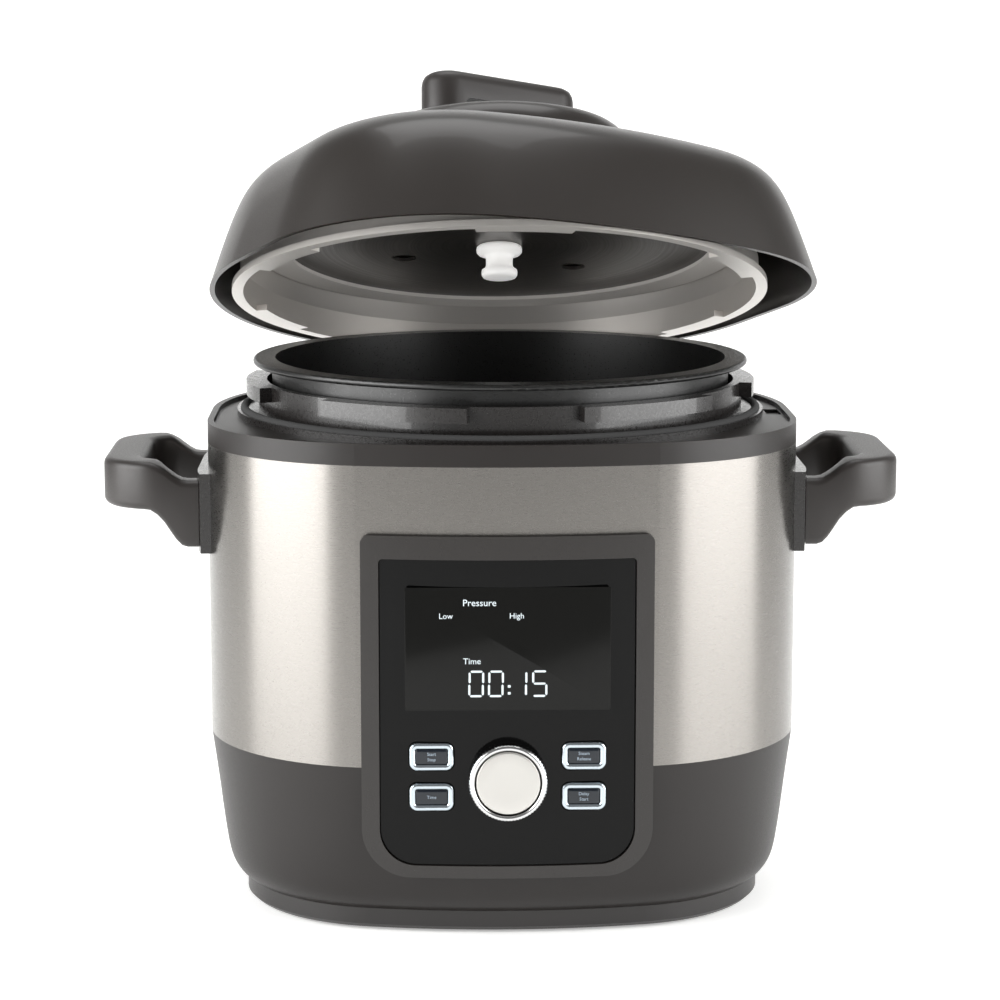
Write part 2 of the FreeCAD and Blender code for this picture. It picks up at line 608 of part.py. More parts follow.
# ================================================================ heater
def heater_shapes():
    """Write the heat shield, heating plate and the small parts round them."""
    shield = ring(SHIELD_R, SHIELD_R - SHIELD_WALL, SHIELD_BOTTOM_Z, DECK_BOTTOM_Z)
    shield = shield.fuse(disc(SHIELD_R, SHIELD_BOTTOM_Z, SHIELD_FLOOR_Z))
    flange_z = DECK_BOTTOM_Z - SHIELD_WALL
    flange = ring(SHIELD_R + SHIELD_FLANGE_WIDTH, SHIELD_R - SHIELD_WALL, flange_z, DECK_BOTTOM_Z)
    shield = shield.fuse(flange)
    shield = shield.cut(disc(WIRE_HOLE_R, SHIELD_BOTTOM_Z - CUT, SHIELD_FLOOR_Z + CUT, (0, WIRE_HOLE_Y)))
    for i in range(LUG_COUNT):
        at = polar((COLLAR_R + COLLAR_FLANGE_R) / 2, LUG_PHASE + i * 360.0 / LUG_COUNT)
        shield = shield.cut(disc(COLLAR_SCREW_R, flange_z - CUT, DECK_BOTTOM_Z + CUT, at))
    write("heat_shield", shield)

    plate = disc(HEATER_R, HEATER_BOTTOM_Z, HEATER_TOP_Z)
    plate = plate.makeFillet(3.0, [e for e in plate.Edges if e.BoundBox.ZMin > HEATER_TOP_Z - RUN])
    plate = plate.cut(disc(HEATER_HOLE_R, HEATER_BOTTOM_Z - CUT, HEATER_TOP_Z + CUT))
    for x in (-HEATER_TERMINAL_X, HEATER_TERMINAL_X):
        low = HEATER_BOTTOM_Z - HEATER_TERMINAL_LENGTH
        plate = plate.fuse(disc(HEATER_TERMINAL_R, low, HEATER_BOTTOM_Z + CUT, (x, HEATER_TERMINAL_Y)))
    write("heating_plate", plate)

    supports = []
    for i in range(SUPPORT_COUNT):
        at = polar(SUPPORT_CIRCLE_R, i * 360.0 / SUPPORT_COUNT)
        supports.append(disc(SUPPORT_R, SHIELD_FLOOR_Z, HEATER_BOTTOM_Z, at))
    write("plate_supports", *supports)

    fuse_z = HEATER_BOTTOM_Z - FUSE_R - SEAT
    fuse = Part.makeCylinder(FUSE_R, FUSE_LENGTH, V(FUSE_AT[0] - FUSE_LENGTH / 2, FUSE_AT[1], fuse_z), RIGHT)
    write("thermal_fuse", fuse)

    switch = block(SWITCH_SIZE, SWITCH_AT, SHIELD_FLOOR_Z)
    plunger = disc(SWITCH_PLUNGER_R, SHIELD_FLOOR_Z + SWITCH_SIZE[2] - CUT, HEATER_BOTTOM_Z - SEAT, SWITCH_AT)
    write("pressure_switch", switch.fuse(plunger))


def sensor_shapes():
    """Write the spring-loaded temperature sensor and its spring."""
    cap_bottom = HEATER_TOP_Z - SENSOR_CAP_HEIGHT
    cap = disc(SENSOR_R, cap_bottom, HEATER_TOP_Z)
    cap = cap.makeFillet(1.5, [e for e in cap.Edges if e.BoundBox.ZMin > HEATER_TOP_Z - RUN])
    stem = disc(SENSOR_STEM_R, cap_bottom - SENSOR_STEM_LENGTH, cap_bottom + CUT)
    write("temperature_sensor", cap.fuse(stem))

    low = SHIELD_FLOOR_Z + SPRING_WIRE_R
    high = cap_bottom - SPRING_WIRE_R
    helix = Part.makeLongHelix((high - low) / SPRING_TURNS, high - low, SPRING_R)
    heading = helix.Edges[0].tangentAt(helix.Edges[0].FirstParameter)
    profile = Part.Wire(Part.makeCircle(SPRING_WIRE_R, V(SPRING_R, 0, 0), heading))
    spring = Part.Wire(helix).makePipeShell([profile], True, True)
    spring.translate(V(0, 0, low))
    write("sensor_spring", spring)


# ================================================================ control panel
def panel_neck(play):
    """Return the tool for the opening that the panel's neck passes through."""
    half = PANEL_WIDTH / 2 - PANEL_FRAME_SIDE + LENS_SHELF + play
    low = LENS_BOTTOM_Z - LENS_SHELF - play
    high = LENS_TOP_Z + LENS_SHELF + play
    front = -BODY_FRONT_DEPTH - PANEL_PROUD - CUT
    depth = -BODY_FRONT_DEPTH / 2
    return rounded_prism(-half, half, low, high, LENS_TOP_R, LENS_BOTTOM_R, front, depth)


def lens_prism(shrink):
    """Return the lens outline as a prism through the panel."""
    half = LENS_WIDTH / 2 - shrink
    front = -BODY_FRONT_DEPTH - PANEL_PROUD - CUT
    back = -BODY_FRONT_DEPTH / 2
    low = LENS_BOTTOM_Z + shrink
    high = LENS_TOP_Z - shrink
    return rounded_prism(-half, half, low, high, LENS_TOP_R, LENS_BOTTOM_R - shrink, front, back)


def key_places():
    """Return the name, x and z of each push key."""
    for row, z in (("upper", KEY_UPPER_Z), ("lower", KEY_LOWER_Z)):
        for column, x in (("left", -KEY_X), ("right", KEY_X)):
            yield "%s_%s" % (row, column), x, z


def key_prism(x, z, grow, y0, y1):
    """Return a key's rounded outline, grown on all sides, as a prism along Y."""
    half_width = KEY_WIDTH / 2 + grow
    half_height = KEY_HEIGHT / 2 + grow
    corner = KEY_CORNER_R + grow
    low = z - half_height
    high = z + half_height
    return rounded_prism(x - half_width, x + half_width, low, high, corner, corner, y0, y1)


def panel_shapes():
    """Write the bezel, lens, display, boards and switches behind it."""
    half = PANEL_WIDTH / 2
    front = -BODY_FRONT_DEPTH - PANEL_PROUD - CUT
    back = -BODY_FRONT_DEPTH / 2
    face = rounded_prism(-half, half, PANEL_BOTTOM_Z, PANEL_TOP_Z, PANEL_TOP_R, PANEL_BOTTOM_R, front, back)
    flange = plan_band(-PANEL_PROUD, 0.0, PANEL_BOTTOM_Z - CUT, PANEL_TOP_Z + CUT).common(face)
    skirt = plan_band(-PANEL_PROUD, BASE_TAPER[1][1], PANEL_BOTTOM_Z - CUT, BASE_TOP_Z).common(face)
    skirt = skirt.cut(plan_stack(BASE_BOTTOM_Z, BASE_TOP_Z, BASE_TAPER))
    neck = plan_band(-CUT, NECK_DEPTH, PANEL_BOTTOM_Z, PANEL_TOP_Z).common(panel_neck(0.0))
    bezel = joined([flange, skirt, neck])
    bezel = bezel.cut(lens_prism(LENS_SHELF))
    shelf = LENS_OFFSET + LENS_THICKNESS
    bezel = bezel.cut(plan_band(-PANEL_PROUD - CUT, shelf, 0, COVER_TOP_Z).common(lens_prism(-SEAT)))
    write("panel_bezel", bezel)

    lens = plan_band(LENS_OFFSET, shelf, 0, COVER_TOP_Z).common(lens_prism(0.0))
    for _, x, z in key_places():
        lens = lens.cut(key_prism(x, z, KEY_GAP, front, back))
    lens = lens.cut(rod_y(DIAL_SLEEVE_R + KEY_GAP, front, back, 0, DIAL_Z))
    write("panel_lens", lens)

    lcd_size = (LCD_WIDTH, LCD_THICKNESS, LCD_HEIGHT)
    write("lcd_module", block(lcd_size, (0, BOARD_FACE_Y - LCD_THICKNESS / 2), LCD_Z - LCD_HEIGHT / 2))

    board_low = LENS_BOTTOM_Z + BOARD_MARGIN
    board_high = LENS_TOP_Z - BOARD_MARGIN
    middle_y = (BOARD_FACE_Y + BOARD_BACK_Y) / 2
    board = block((BOARD_WIDTH, BOARD_THICKNESS, board_high - board_low), (0, middle_y), board_low)
    write("control_board", board)

    tacts = []
    for _, x, z in key_places():
        middle = (x, BOARD_FACE_Y - TACT_HEIGHT / 2)
        tacts.append(block((TACT_SIZE, TACT_HEIGHT, TACT_SIZE), middle, z - TACT_SIZE / 2))
    write("key_switches", *tacts)


def key_shapes():
    """Write the four push keys: a dark cap in a bright trim ring."""
    face_y = LENS_FACE_Y - KEY_PROUD
    back_y = BOARD_FACE_Y - TACT_HEIGHT - KEY_TRAVEL - SEAT
    for name, x, z in key_places():
        trim = key_prism(x, z, 0.0, face_y, face_y + KEY_TRIM_DEPTH)
        trim = trim.cut(key_prism(x, z, -KEY_TRIM, face_y - CUT, face_y + KEY_TRIM_DEPTH + CUT))
        write("key_trim_" + name, trim)
        cap = key_prism(x, z, -KEY_TRIM, face_y + SEAT, back_y)
        write("key_cap_" + name, cap)


def dial_shapes():
    """Write the dial's turning ring, its push face and the encoder behind them."""
    face_y = LENS_FACE_Y - DIAL_PROUD
    back_y = LENS_FACE_Y - DIAL_BACK_GAP
    web_y = back_y - DIAL_WEB
    sleeve_end = BOARD_FACE_Y - ENCODER_DEPTH - KEY_GAP
    ring_shape = rod_y(DIAL_R, face_y, back_y, 0, DIAL_Z)
    ring_shape = ring_shape.makeFillet(0.8, [e for e in ring_shape.Edges if e.BoundBox.YMax < face_y + RUN])
    ring_shape = ring_shape.cut(rod_y(DIAL_R - DIAL_RIM, face_y - CUT, web_y, 0, DIAL_Z))
    ring_shape = ring_shape.fuse(rod_y(DIAL_SLEEVE_R, web_y, sleeve_end, 0, DIAL_Z))
    ring_shape = ring_shape.cut(rod_y(PLUNGER_R + RUN, face_y, sleeve_end + CUT, 0, DIAL_Z))
    write("dial_ring", ring_shape)

    button_y = face_y + FACE_SINK
    plunger_end = BOARD_FACE_Y - DIAL_TRAVEL - 2 * SEAT
    button = rod_y(DIAL_R - DIAL_RIM - DIAL_GAP, button_y, button_y + FACE_THICKNESS, 0, DIAL_Z)
    button = button.makeFillet(0.5, [e for e in button.Edges if e.BoundBox.YMax < button_y + RUN])
    button = button.fuse(rod_y(PLUNGER_R, button_y + CUT, plunger_end, 0, DIAL_Z))
    write("dial_face", button)

    size = (ENCODER_SIZE, ENCODER_DEPTH, ENCODER_SIZE)
    encoder = block(size, (0, BOARD_FACE_Y - ENCODER_DEPTH / 2), DIAL_Z - ENCODER_SIZE / 2)
    hole = rod_y(PLUNGER_R + KEY_GAP, BOARD_FACE_Y - ENCODER_DEPTH - CUT, BOARD_FACE_Y + CUT, 0, DIAL_Z)
    write("rotary_encoder", encoder.cut(hole))


# ================================================================ power electronics
def power_shapes():
    """Write the power board, what stands on it, and the mains inlet."""
    board_z = PLATE_BOTTOM_Z + BOTTOM_WALL + POWER_BOARD_STANDOFF
    top_z = board_z + POWER_BOARD_SIZE[2]
    write("power_board", block(POWER_BOARD_SIZE, (0, POWER_BOARD_Y), board_z))
    write("relay", block(RELAY_SIZE, RELAY_AT, top_z))
    core = block(TRANSFORMER_SIZE, TRANSFORMER_AT, top_z)
    coil_size = (TRANSFORMER_SIZE[0] * 0.6, TRANSFORMER_SIZE[1] + 6.0, TRANSFORMER_SIZE[2] * 0.7)
    coil = block(coil_size, TRANSFORMER_AT, top_z + TRANSFORMER_SIZE[2] * 0.15)
    write("transformer", core.fuse(coil))
    write("filter_capacitor", rounded_block(CAPACITOR_SIZE, CAPACITOR_AT, top_z, 2.0))

    width, height = INLET_SIZE
    low = INLET_Z - height / 2
    body = block((width, INLET_DEPTH, height), (0, INLET_Y - INLET_DEPTH / 2), low)
    flange_size = (width + 2 * INLET_FLANGE, INLET_FLANGE_THICKNESS, height + 2 * INLET_FLANGE)
    body = body.fuse(block(flange_size, (0, INLET_Y - INLET_FLANGE_THICKNESS / 2), low - INLET_FLANGE))
    cavity_size = (width - 2 * INLET_WALL, INLET_CAVITY_DEPTH + CUT, height - 2 * INLET_WALL)
    cavity_y = INLET_Y + CUT - cavity_size[1] / 2
    body = body.cut(block(cavity_size, (0, cavity_y), low + INLET_WALL))
    pins = []
    pin_y = INLET_Y - INLET_CAVITY_DEPTH + PIN_LENGTH / 2
    for x, drop in ((-PIN_PITCH, PIN_DROP / 2), (0.0, -PIN_DROP / 2), (PIN_PITCH, PIN_DROP / 2)):
        pin_size = (PIN_SIZE[0], PIN_LENGTH, PIN_SIZE[1])
        pins.append(block(pin_size, (x, pin_y), INLET_Z - drop - PIN_SIZE[1] / 2))
    write("inlet_socket", body)
    write("inlet_pins", *pins)


def inlet_hole():
    """Return the tool for the inlet's hole and the flat seat of its flange."""
    width, height = INLET_SIZE
    low = INLET_Z - height / 2 - SEAT
    depth = INLET_DEPTH + CUT
    hole = block((width + 2 * SEAT, depth, height + 2 * SEAT), (0, INLET_Y + CUT - depth / 2), low)
    seat_size = (width + 2 * INLET_FLANGE + 2 * SEAT, BODY_CORNER_R, height + 2 * INLET_FLANGE + 2 * SEAT)
    seat_y = INLET_Y - INLET_FLANGE_THICKNESS + seat_size[1] / 2
    return hole.fuse(block(seat_size, (0, seat_y), low - INLET_FLANGE))


def wire_along(points, radius):
    """Return a round wire along straight runs that large tangent arcs join."""
    corners = [V(*point) for point in points]
    at = corners[0]
    edges = []
    for before, corner, after in zip(corners, corners[1:], corners[2:]):
        back = before - corner
        onward = after - corner
        trim = WIRE_BEND_SHARE * min(back.Length, onward.Length)
        turn = math.pi - back.getAngle(onward)
        bend = trim / math.tan(turn / 2)
        back.normalize()
        onward.normalize()
        inward = back + onward
        inward.normalize()
        middle = corner + inward * (math.hypot(trim, bend) - bend)
        enter = corner + back * trim
        leave = corner + onward * trim
        edges.append(Part.makeLine(at, enter))
        edges.append(Part.Arc(enter, middle, leave).toShape())
        at = leave
    edges.append(Part.makeLine(at, corners[-1]))
    section = Part.Wire(Part.makeCircle(radius, corners[0], corners[1] - corners[0]))
    return Part.Wire(edges).makePipeShell([section], True, True)


def wiring_shapes():
    """Write the mains wires, the heater wires and the ribbon to the control board."""
    board_top = PLATE_BOTTOM_Z + BOTTOM_WALL + POWER_BOARD_STANDOFF + POWER_BOARD_SIZE[2]
    board_back = POWER_BOARD_Y + POWER_BOARD_SIZE[1] / 2
    socket_back = INLET_Y - INLET_DEPTH
    landing = board_back - SUPPLY_LANDING
    supply = []
    for x in (-PIN_PITCH, 0.0, PIN_PITCH):
        spread = SUPPLY_SPREAD * x
        points = [
            (x, socket_back, INLET_Z), (x, socket_back - 12.0, INLET_Z),
            ((x + spread) / 2, board_back + 22.0, INLET_Z - 4.0),
            (spread, landing, board_top + 12.0), (spread, landing, board_top),
        ]
        supply.append(wire_along(points, WIRE_R))
    write("supply_wires", *supply)

    heater = []
    terminal_low = HEATER_BOTTOM_Z - HEATER_TERMINAL_LENGTH
    run_z = SHIELD_FLOOR_Z + WIRE_R + CUT
    for side in (-1, 1):
        x = side * HEATER_TERMINAL_X
        far_x = side * HEATER_LANDING_X
        points = [
            (x, HEATER_TERMINAL_Y, terminal_low), (x, HEATER_TERMINAL_Y, run_z),
            (side * 10.0, WIRE_HOLE_Y - 3.0, run_z), (side * 12.0, WIRE_HOLE_Y, SHIELD_BOTTOM_Z - 9.0),
            (far_x, board_back - 8.0, board_top + 14.0), (far_x, board_back - 8.0, board_top),
        ]
        heater.append(wire_along(points, WIRE_R))
    write("heater_wires", *heater)

    ribbon_low = board_top + RIBBON_THICKNESS
    board_front = POWER_BOARD_Y - POWER_BOARD_SIZE[1] / 2
    run_y = BOARD_BACK_Y + RIBBON_THICKNESS
    riser = LENS_BOTTOM_Z + BOARD_MARGIN + RIBBON_WIDTH
    radius = (riser - ribbon_low) / 2
    start = V(0, board_front + RIBBON_OVERLAP, ribbon_low)
    bend_start = V(0, run_y + radius, ribbon_low)
    bend_middle = V(0, run_y + radius, ribbon_low + radius) - V(0, 1, 1) * (radius * math.sqrt(0.5))
    bend_end = V(0, run_y, ribbon_low + radius)
    path = Part.Wire([
        Part.makeLine(start, bend_start),
        Part.Arc(bend_start, bend_middle, bend_end).toShape(),
        Part.makeLine(bend_end, V(0, run_y, riser)),
    ])
    half_w = RIBBON_WIDTH / 2
    half_t = RIBBON_THICKNESS / 2
    signs = ((-1, -1), (1, -1), (1, 1), (-1, 1))
    corners = [V(sx * half_w, start.y, ribbon_low + sz * half_t) for sx, sz in signs]
    section = Part.makePolygon(corners + corners[:1])
    write("panel_ribbon", path.makePipeShell([section], True, True))


# ================================================================ side handles
def handle_profile(side):
    """Return the handle's stepped front outline as a prism along Y."""
    root = BODY_HALF_WIDTH + ROOT_LENGTH
    near_step = root + STEP_LENGTH
    inner_grip = HANDLE_REACH - GRIP_WIDTH
    start = BODY_HALF_WIDTH * 0.7
    outline = [
        (start, ROOT_BOTTOM_Z), (root - STEP_LENGTH / 3, ROOT_BOTTOM_Z), (inner_grip, GRIP_BOTTOM_Z),
        (HANDLE_REACH, GRIP_BOTTOM_Z), (HANDLE_REACH, GRIP_TOP_Z), (near_step, GRIP_TOP_Z),
        (root + STEP_LENGTH / 4, ROOT_TOP_Z), (start, ROOT_TOP_Z),
    ]
    points = [V(side * x, -HANDLE_HALF_LENGTH - CUT, z) for x, z in outline]
    face = Part.Face(Part.makePolygon(points + points[:1]))
    return face.extrude(V(0, 2 * (HANDLE_HALF_LENGTH + CUT), 0))


def handle_shapes():
    """Write both side handles, their mounting plates and screws."""
    height = GRIP_TOP_Z - ROOT_BOTTOM_Z + 2 * CUT
    low = ROOT_BOTTOM_Z - CUT
    start = BODY_HALF_WIDTH * 0.7
    screws = []
    for name, side in (("left", -1), ("right", 1)):
        length = HANDLE_REACH - start
        middle = side * (start + length / 2)
        loop = rounded_block((length, 2 * HANDLE_HALF_LENGTH, height), (middle, 0), low, HANDLE_CORNER_R)
        hole_length = length - GRIP_WIDTH
        hole_middle = side * (start + hole_length / 2)
        hole_width = 2 * (HANDLE_HALF_LENGTH - RAIL_WIDTH)
        hole = rounded_block((hole_length, hole_width, height), (hole_middle, 0), low, HANDLE_HOLE_R)
        grip = loop.cut(hole).common(handle_profile(side))
        grip = grip.cut(plan_prism(-HANDLE_PLATE_THICKNESS, low, low + height))
        outer = [e for e in grip.Edges if is_grip_edge(e, side)]
        grip = grip.makeFillet(GRIP_ROUND_R, outer)
        write(name + "_handle", grip)

        span = (HANDLE_HALF_LENGTH + HANDLE_PLATE_MARGIN) * 2
        plate_low = ROOT_BOTTOM_Z - HANDLE_PLATE_MARGIN
        plate_size = (BODY_HALF_WIDTH, span, ROOT_TOP_Z + HANDLE_PLATE_MARGIN - plate_low)
        window = block(plate_size, (side * BODY_HALF_WIDTH, 0), plate_low)
        plate = plan_band(-HANDLE_PLATE_THICKNESS, 0.0, low - CUT, low + height).common(window)
        for shank in handle_rods(side, HANDLE_SCREW_R, HANDLE_SCREW_HEAD - CUT, HANDLE_SCREW_LENGTH):
            plate = plate.cut(shank)
        write(name + "_handle_plate", plate)

        heads = handle_rods(side, HANDLE_SCREW_HEAD_R, 0.0, HANDLE_SCREW_HEAD)
        shanks = handle_rods(side, HANDLE_SCREW_R, HANDLE_SCREW_HEAD - CUT, HANDLE_SCREW_LENGTH)
        for head, shank in zip(heads, shanks):
            screws.append(head.fuse(shank))
    write("handle_screws", *screws)


def handle_rods(side, radius, start, end):
    """Return a rod at each screw of one handle, between two distances from the screw's head."""
    edge_y = HANDLE_SCREW_Y + HANDLE_SCREW_HEAD_R
    back_x = math.sqrt(BODY_HALF_WIDTH ** 2 - edge_y ** 2) - WRAP_WALL - SEAT - HANDLE_SCREW_HEAD
    x = side * (back_x + start)
    z = (ROOT_BOTTOM_Z + ROOT_TOP_Z) / 2
    starts = [V(x, y, z) for y in (-HANDLE_SCREW_Y, HANDLE_SCREW_Y)]
    return [Part.makeCylinder(radius, end - start, at, RIGHT * side) for at in starts]


def is_grip_edge(edge, side):
    """Return whether an edge is one of the grip's long outer edges along Y."""
    box = edge.BoundBox
    outside = side * edge.CenterOfMass.x > HANDLE_REACH - RUN
    straight = HANDLE_HALF_LENGTH - HANDLE_CORNER_R
    return outside and box.XLength < RUN and box.ZLength < RUN and box.YLength > straight


# ================================================================ condensate cup
def cup_recess(play):
    """Return the tool for the opening at the back that the cup's socket fills."""
    half = CUP_WIDTH / 2 + CUP_PLAY + SOCKET_WALL + play
    low = CUP_BOTTOM_Z - CUP_PLAY - SOCKET_WALL - play
    high = CUP_BOTTOM_Z + CUP_HEIGHT + CUP_HEADROOM + SOCKET_WALL + play
    depth = SOCKET_DEPTH + play
    return Part.makeBox(2 * half, depth, high - low, V(-half, BODY_HALF_WIDTH - depth, low))


def cup_shapes():
    """Write the condensate cup at the back and the socket that it slides out of."""
    cup_y = BODY_HALF_WIDTH - SOCKET_DEPTH + SOCKET_WALL + CUP_PLAY
    middle_y = cup_y + CUP_DEPTH / 2
    cup = rounded_block((CUP_WIDTH, CUP_DEPTH, CUP_HEIGHT), (0, middle_y), CUP_BOTTOM_Z, CUP_CORNER_R)
    hollow_size = (CUP_WIDTH - 2 * CUP_WALL, CUP_DEPTH - 2 * CUP_WALL, CUP_HEIGHT)
    hollow_r = CUP_CORNER_R - CUP_WALL
    cup = cup.cut(rounded_block(hollow_size, (0, middle_y), CUP_BOTTOM_Z + CUP_WALL, hollow_r))
    write("condensate_cup", cup)

    box = cup_recess(0.0)
    room_low = CUP_BOTTOM_Z - CUP_PLAY
    room_high = CUP_BOTTOM_Z + CUP_HEIGHT + CUP_HEADROOM
    room_size = (CUP_WIDTH + 2 * CUP_PLAY, 2 * SOCKET_DEPTH, room_high - room_low)
    room = block(room_size, (0, cup_y - CUP_PLAY + SOCKET_DEPTH), room_low)
    half = CUP_WIDTH / 2 + CUP_PLAY + SOCKET_WALL + SOCKET_LIP
    lip_low = room_low - SOCKET_WALL - SOCKET_LIP
    lip_size = (2 * half, BODY_HALF_WIDTH, room_high - lip_low + SOCKET_WALL + SOCKET_LIP)
    lip = plan_band(-SOCKET_LIP_THICKNESS, 0.0, lip_low - CUT, room_high + 2 * SOCKET_WALL + SOCKET_LIP)
    lip = lip.common(block(lip_size, (0, BODY_HALF_WIDTH), lip_low))
    inside = box.common(plan_prism(0.0, lip_low, room_high + 2 * SOCKET_WALL))
    write("cup_socket", lip.fuse(inside).cut(room))


# ================================================================ inner pot
def pot_shapes():
    """Write the inner pot with its rolled rim."""
    shell = disc(POT_R, POT_BOTTOM_Z, POT_RIM_TOP_Z)
    shell = shell.makeFillet(POT_CORNER_R, [e for e in shell.Edges if e.BoundBox.ZMax < POT_BOTTOM_Z + RUN])
    floor = POT_BOTTOM_Z + POT_WALL
    hollow = disc(POT_R - POT_WALL, floor, POT_RIM_TOP_Z + CUT)
    floor_edges = [e for e in hollow.Edges if e.BoundBox.ZMax < floor + RUN]
    hollow = hollow.makeFillet(POT_CORNER_R - POT_WALL, floor_edges)
    rim = ring(POT_RIM_R, POT_R - POT_WALL, POT_RIM_TOP_Z - POT_RIM_HEIGHT, POT_RIM_TOP_Z)
    edges = [e for e in rim.Edges if e.BoundBox.XLength > 2 * POT_RIM_R - RUN and e.BoundBox.ZLength < RUN]
    rim = rim.makeFillet(POT_RIM_HEIGHT / 2 - RUN, edges)
    write("inner_pot", shell.fuse(rim).cut(hollow))


# ================================================================ lid
def turned_profile(points):
    """Return the solid of revolution of a closed (radius, height) outline."""
    corners = [V(r, 0, h) for r, h in points]
    return Part.Face(Part.makePolygon(corners + corners[:1])).revolve(ORIGIN, UP, 360)


def steel_lid_shape():
    """Return the pressed steel lid with its bayonet lugs and holes."""
    cone_r = POT_RIM_R + LID_CONE_PLAY
    wall = LID_BAYONET_R
    shape = turned_profile([
        (LID_LUG_R, 0), (LID_RIM_R, 0), (LID_RIM_R, LID_RIM_HEIGHT), (wall + LID_SHEET, LID_RIM_HEIGHT),
        (wall + LID_SHEET, LID_BAYONET_HEIGHT), (cone_r + LID_SHEET, LID_CONE_TOP),
        (cone_r + LID_SHEET, LID_TOP_PLATE), (0, LID_TOP_PLATE), (0, LID_TOP_PLATE - LID_SHEET),
        (cone_r, LID_TOP_PLATE - LID_SHEET), (cone_r, LID_CONE_TOP), (wall, LID_BAYONET_HEIGHT),
        (wall, LID_RIM_HEIGHT), (LID_LUG_R, LID_RIM_HEIGHT),
    ])
    notch_angle = 360.0 / LUG_COUNT - LID_LUG_ANGLE
    for i in range(LUG_COUNT):
        bearing = LUG_PHASE - LID_LOCK_TURN + i * 360.0 / LUG_COUNT
        notch = sector(wall, LID_LUG_R - CUT, -CUT, LID_RIM_HEIGHT + CUT, bearing, notch_angle)
        shape = shape.cut(notch)
    low = LID_TOP_PLATE - LID_SHEET - CUT
    high = LID_TOP_PLATE + CUT
    shape = shape.cut(disc(STUD_R + RUN, low, high))
    shape = shape.cut(disc(FLOAT_R + RUN, low, high, polar(FLOAT_CIRCLE_R, FLOAT_BEARING)))
    return shape.cut(disc(VALVE_PIPE_BORE_R, low, high, polar(VALVE_CIRCLE_R, VALVE_BEARING)))


def lid_shell_shape():
    """Return the plastic outer shell of the lid."""
    outer = plan_stack(-SHELL_SKIRT_DROP, SHELL_TOP, SHELL_TAPER)
    inner = plan_stack(-SHELL_SKIRT_DROP, SHELL_TOP - SHELL_WALL, SHELL_TAPER, SHELL_WALL)
    middle = plan_stack(-SHELL_SKIRT_DROP, SHELL_TOP - SHELL_WALL / 2, SHELL_TAPER, SHELL_WALL / 2)
    shape = outer.cut(inner)
    for i in range(SHELL_BOSS_COUNT):
        at = polar(SHELL_BOSS_CIRCLE_R, i * 360.0 / SHELL_BOSS_COUNT)
        boss = disc(SHELL_BOSS_R, LID_TOP_PLATE, SHELL_TOP, at)
        shape = shape.fuse(boss.common(middle))
    return shape


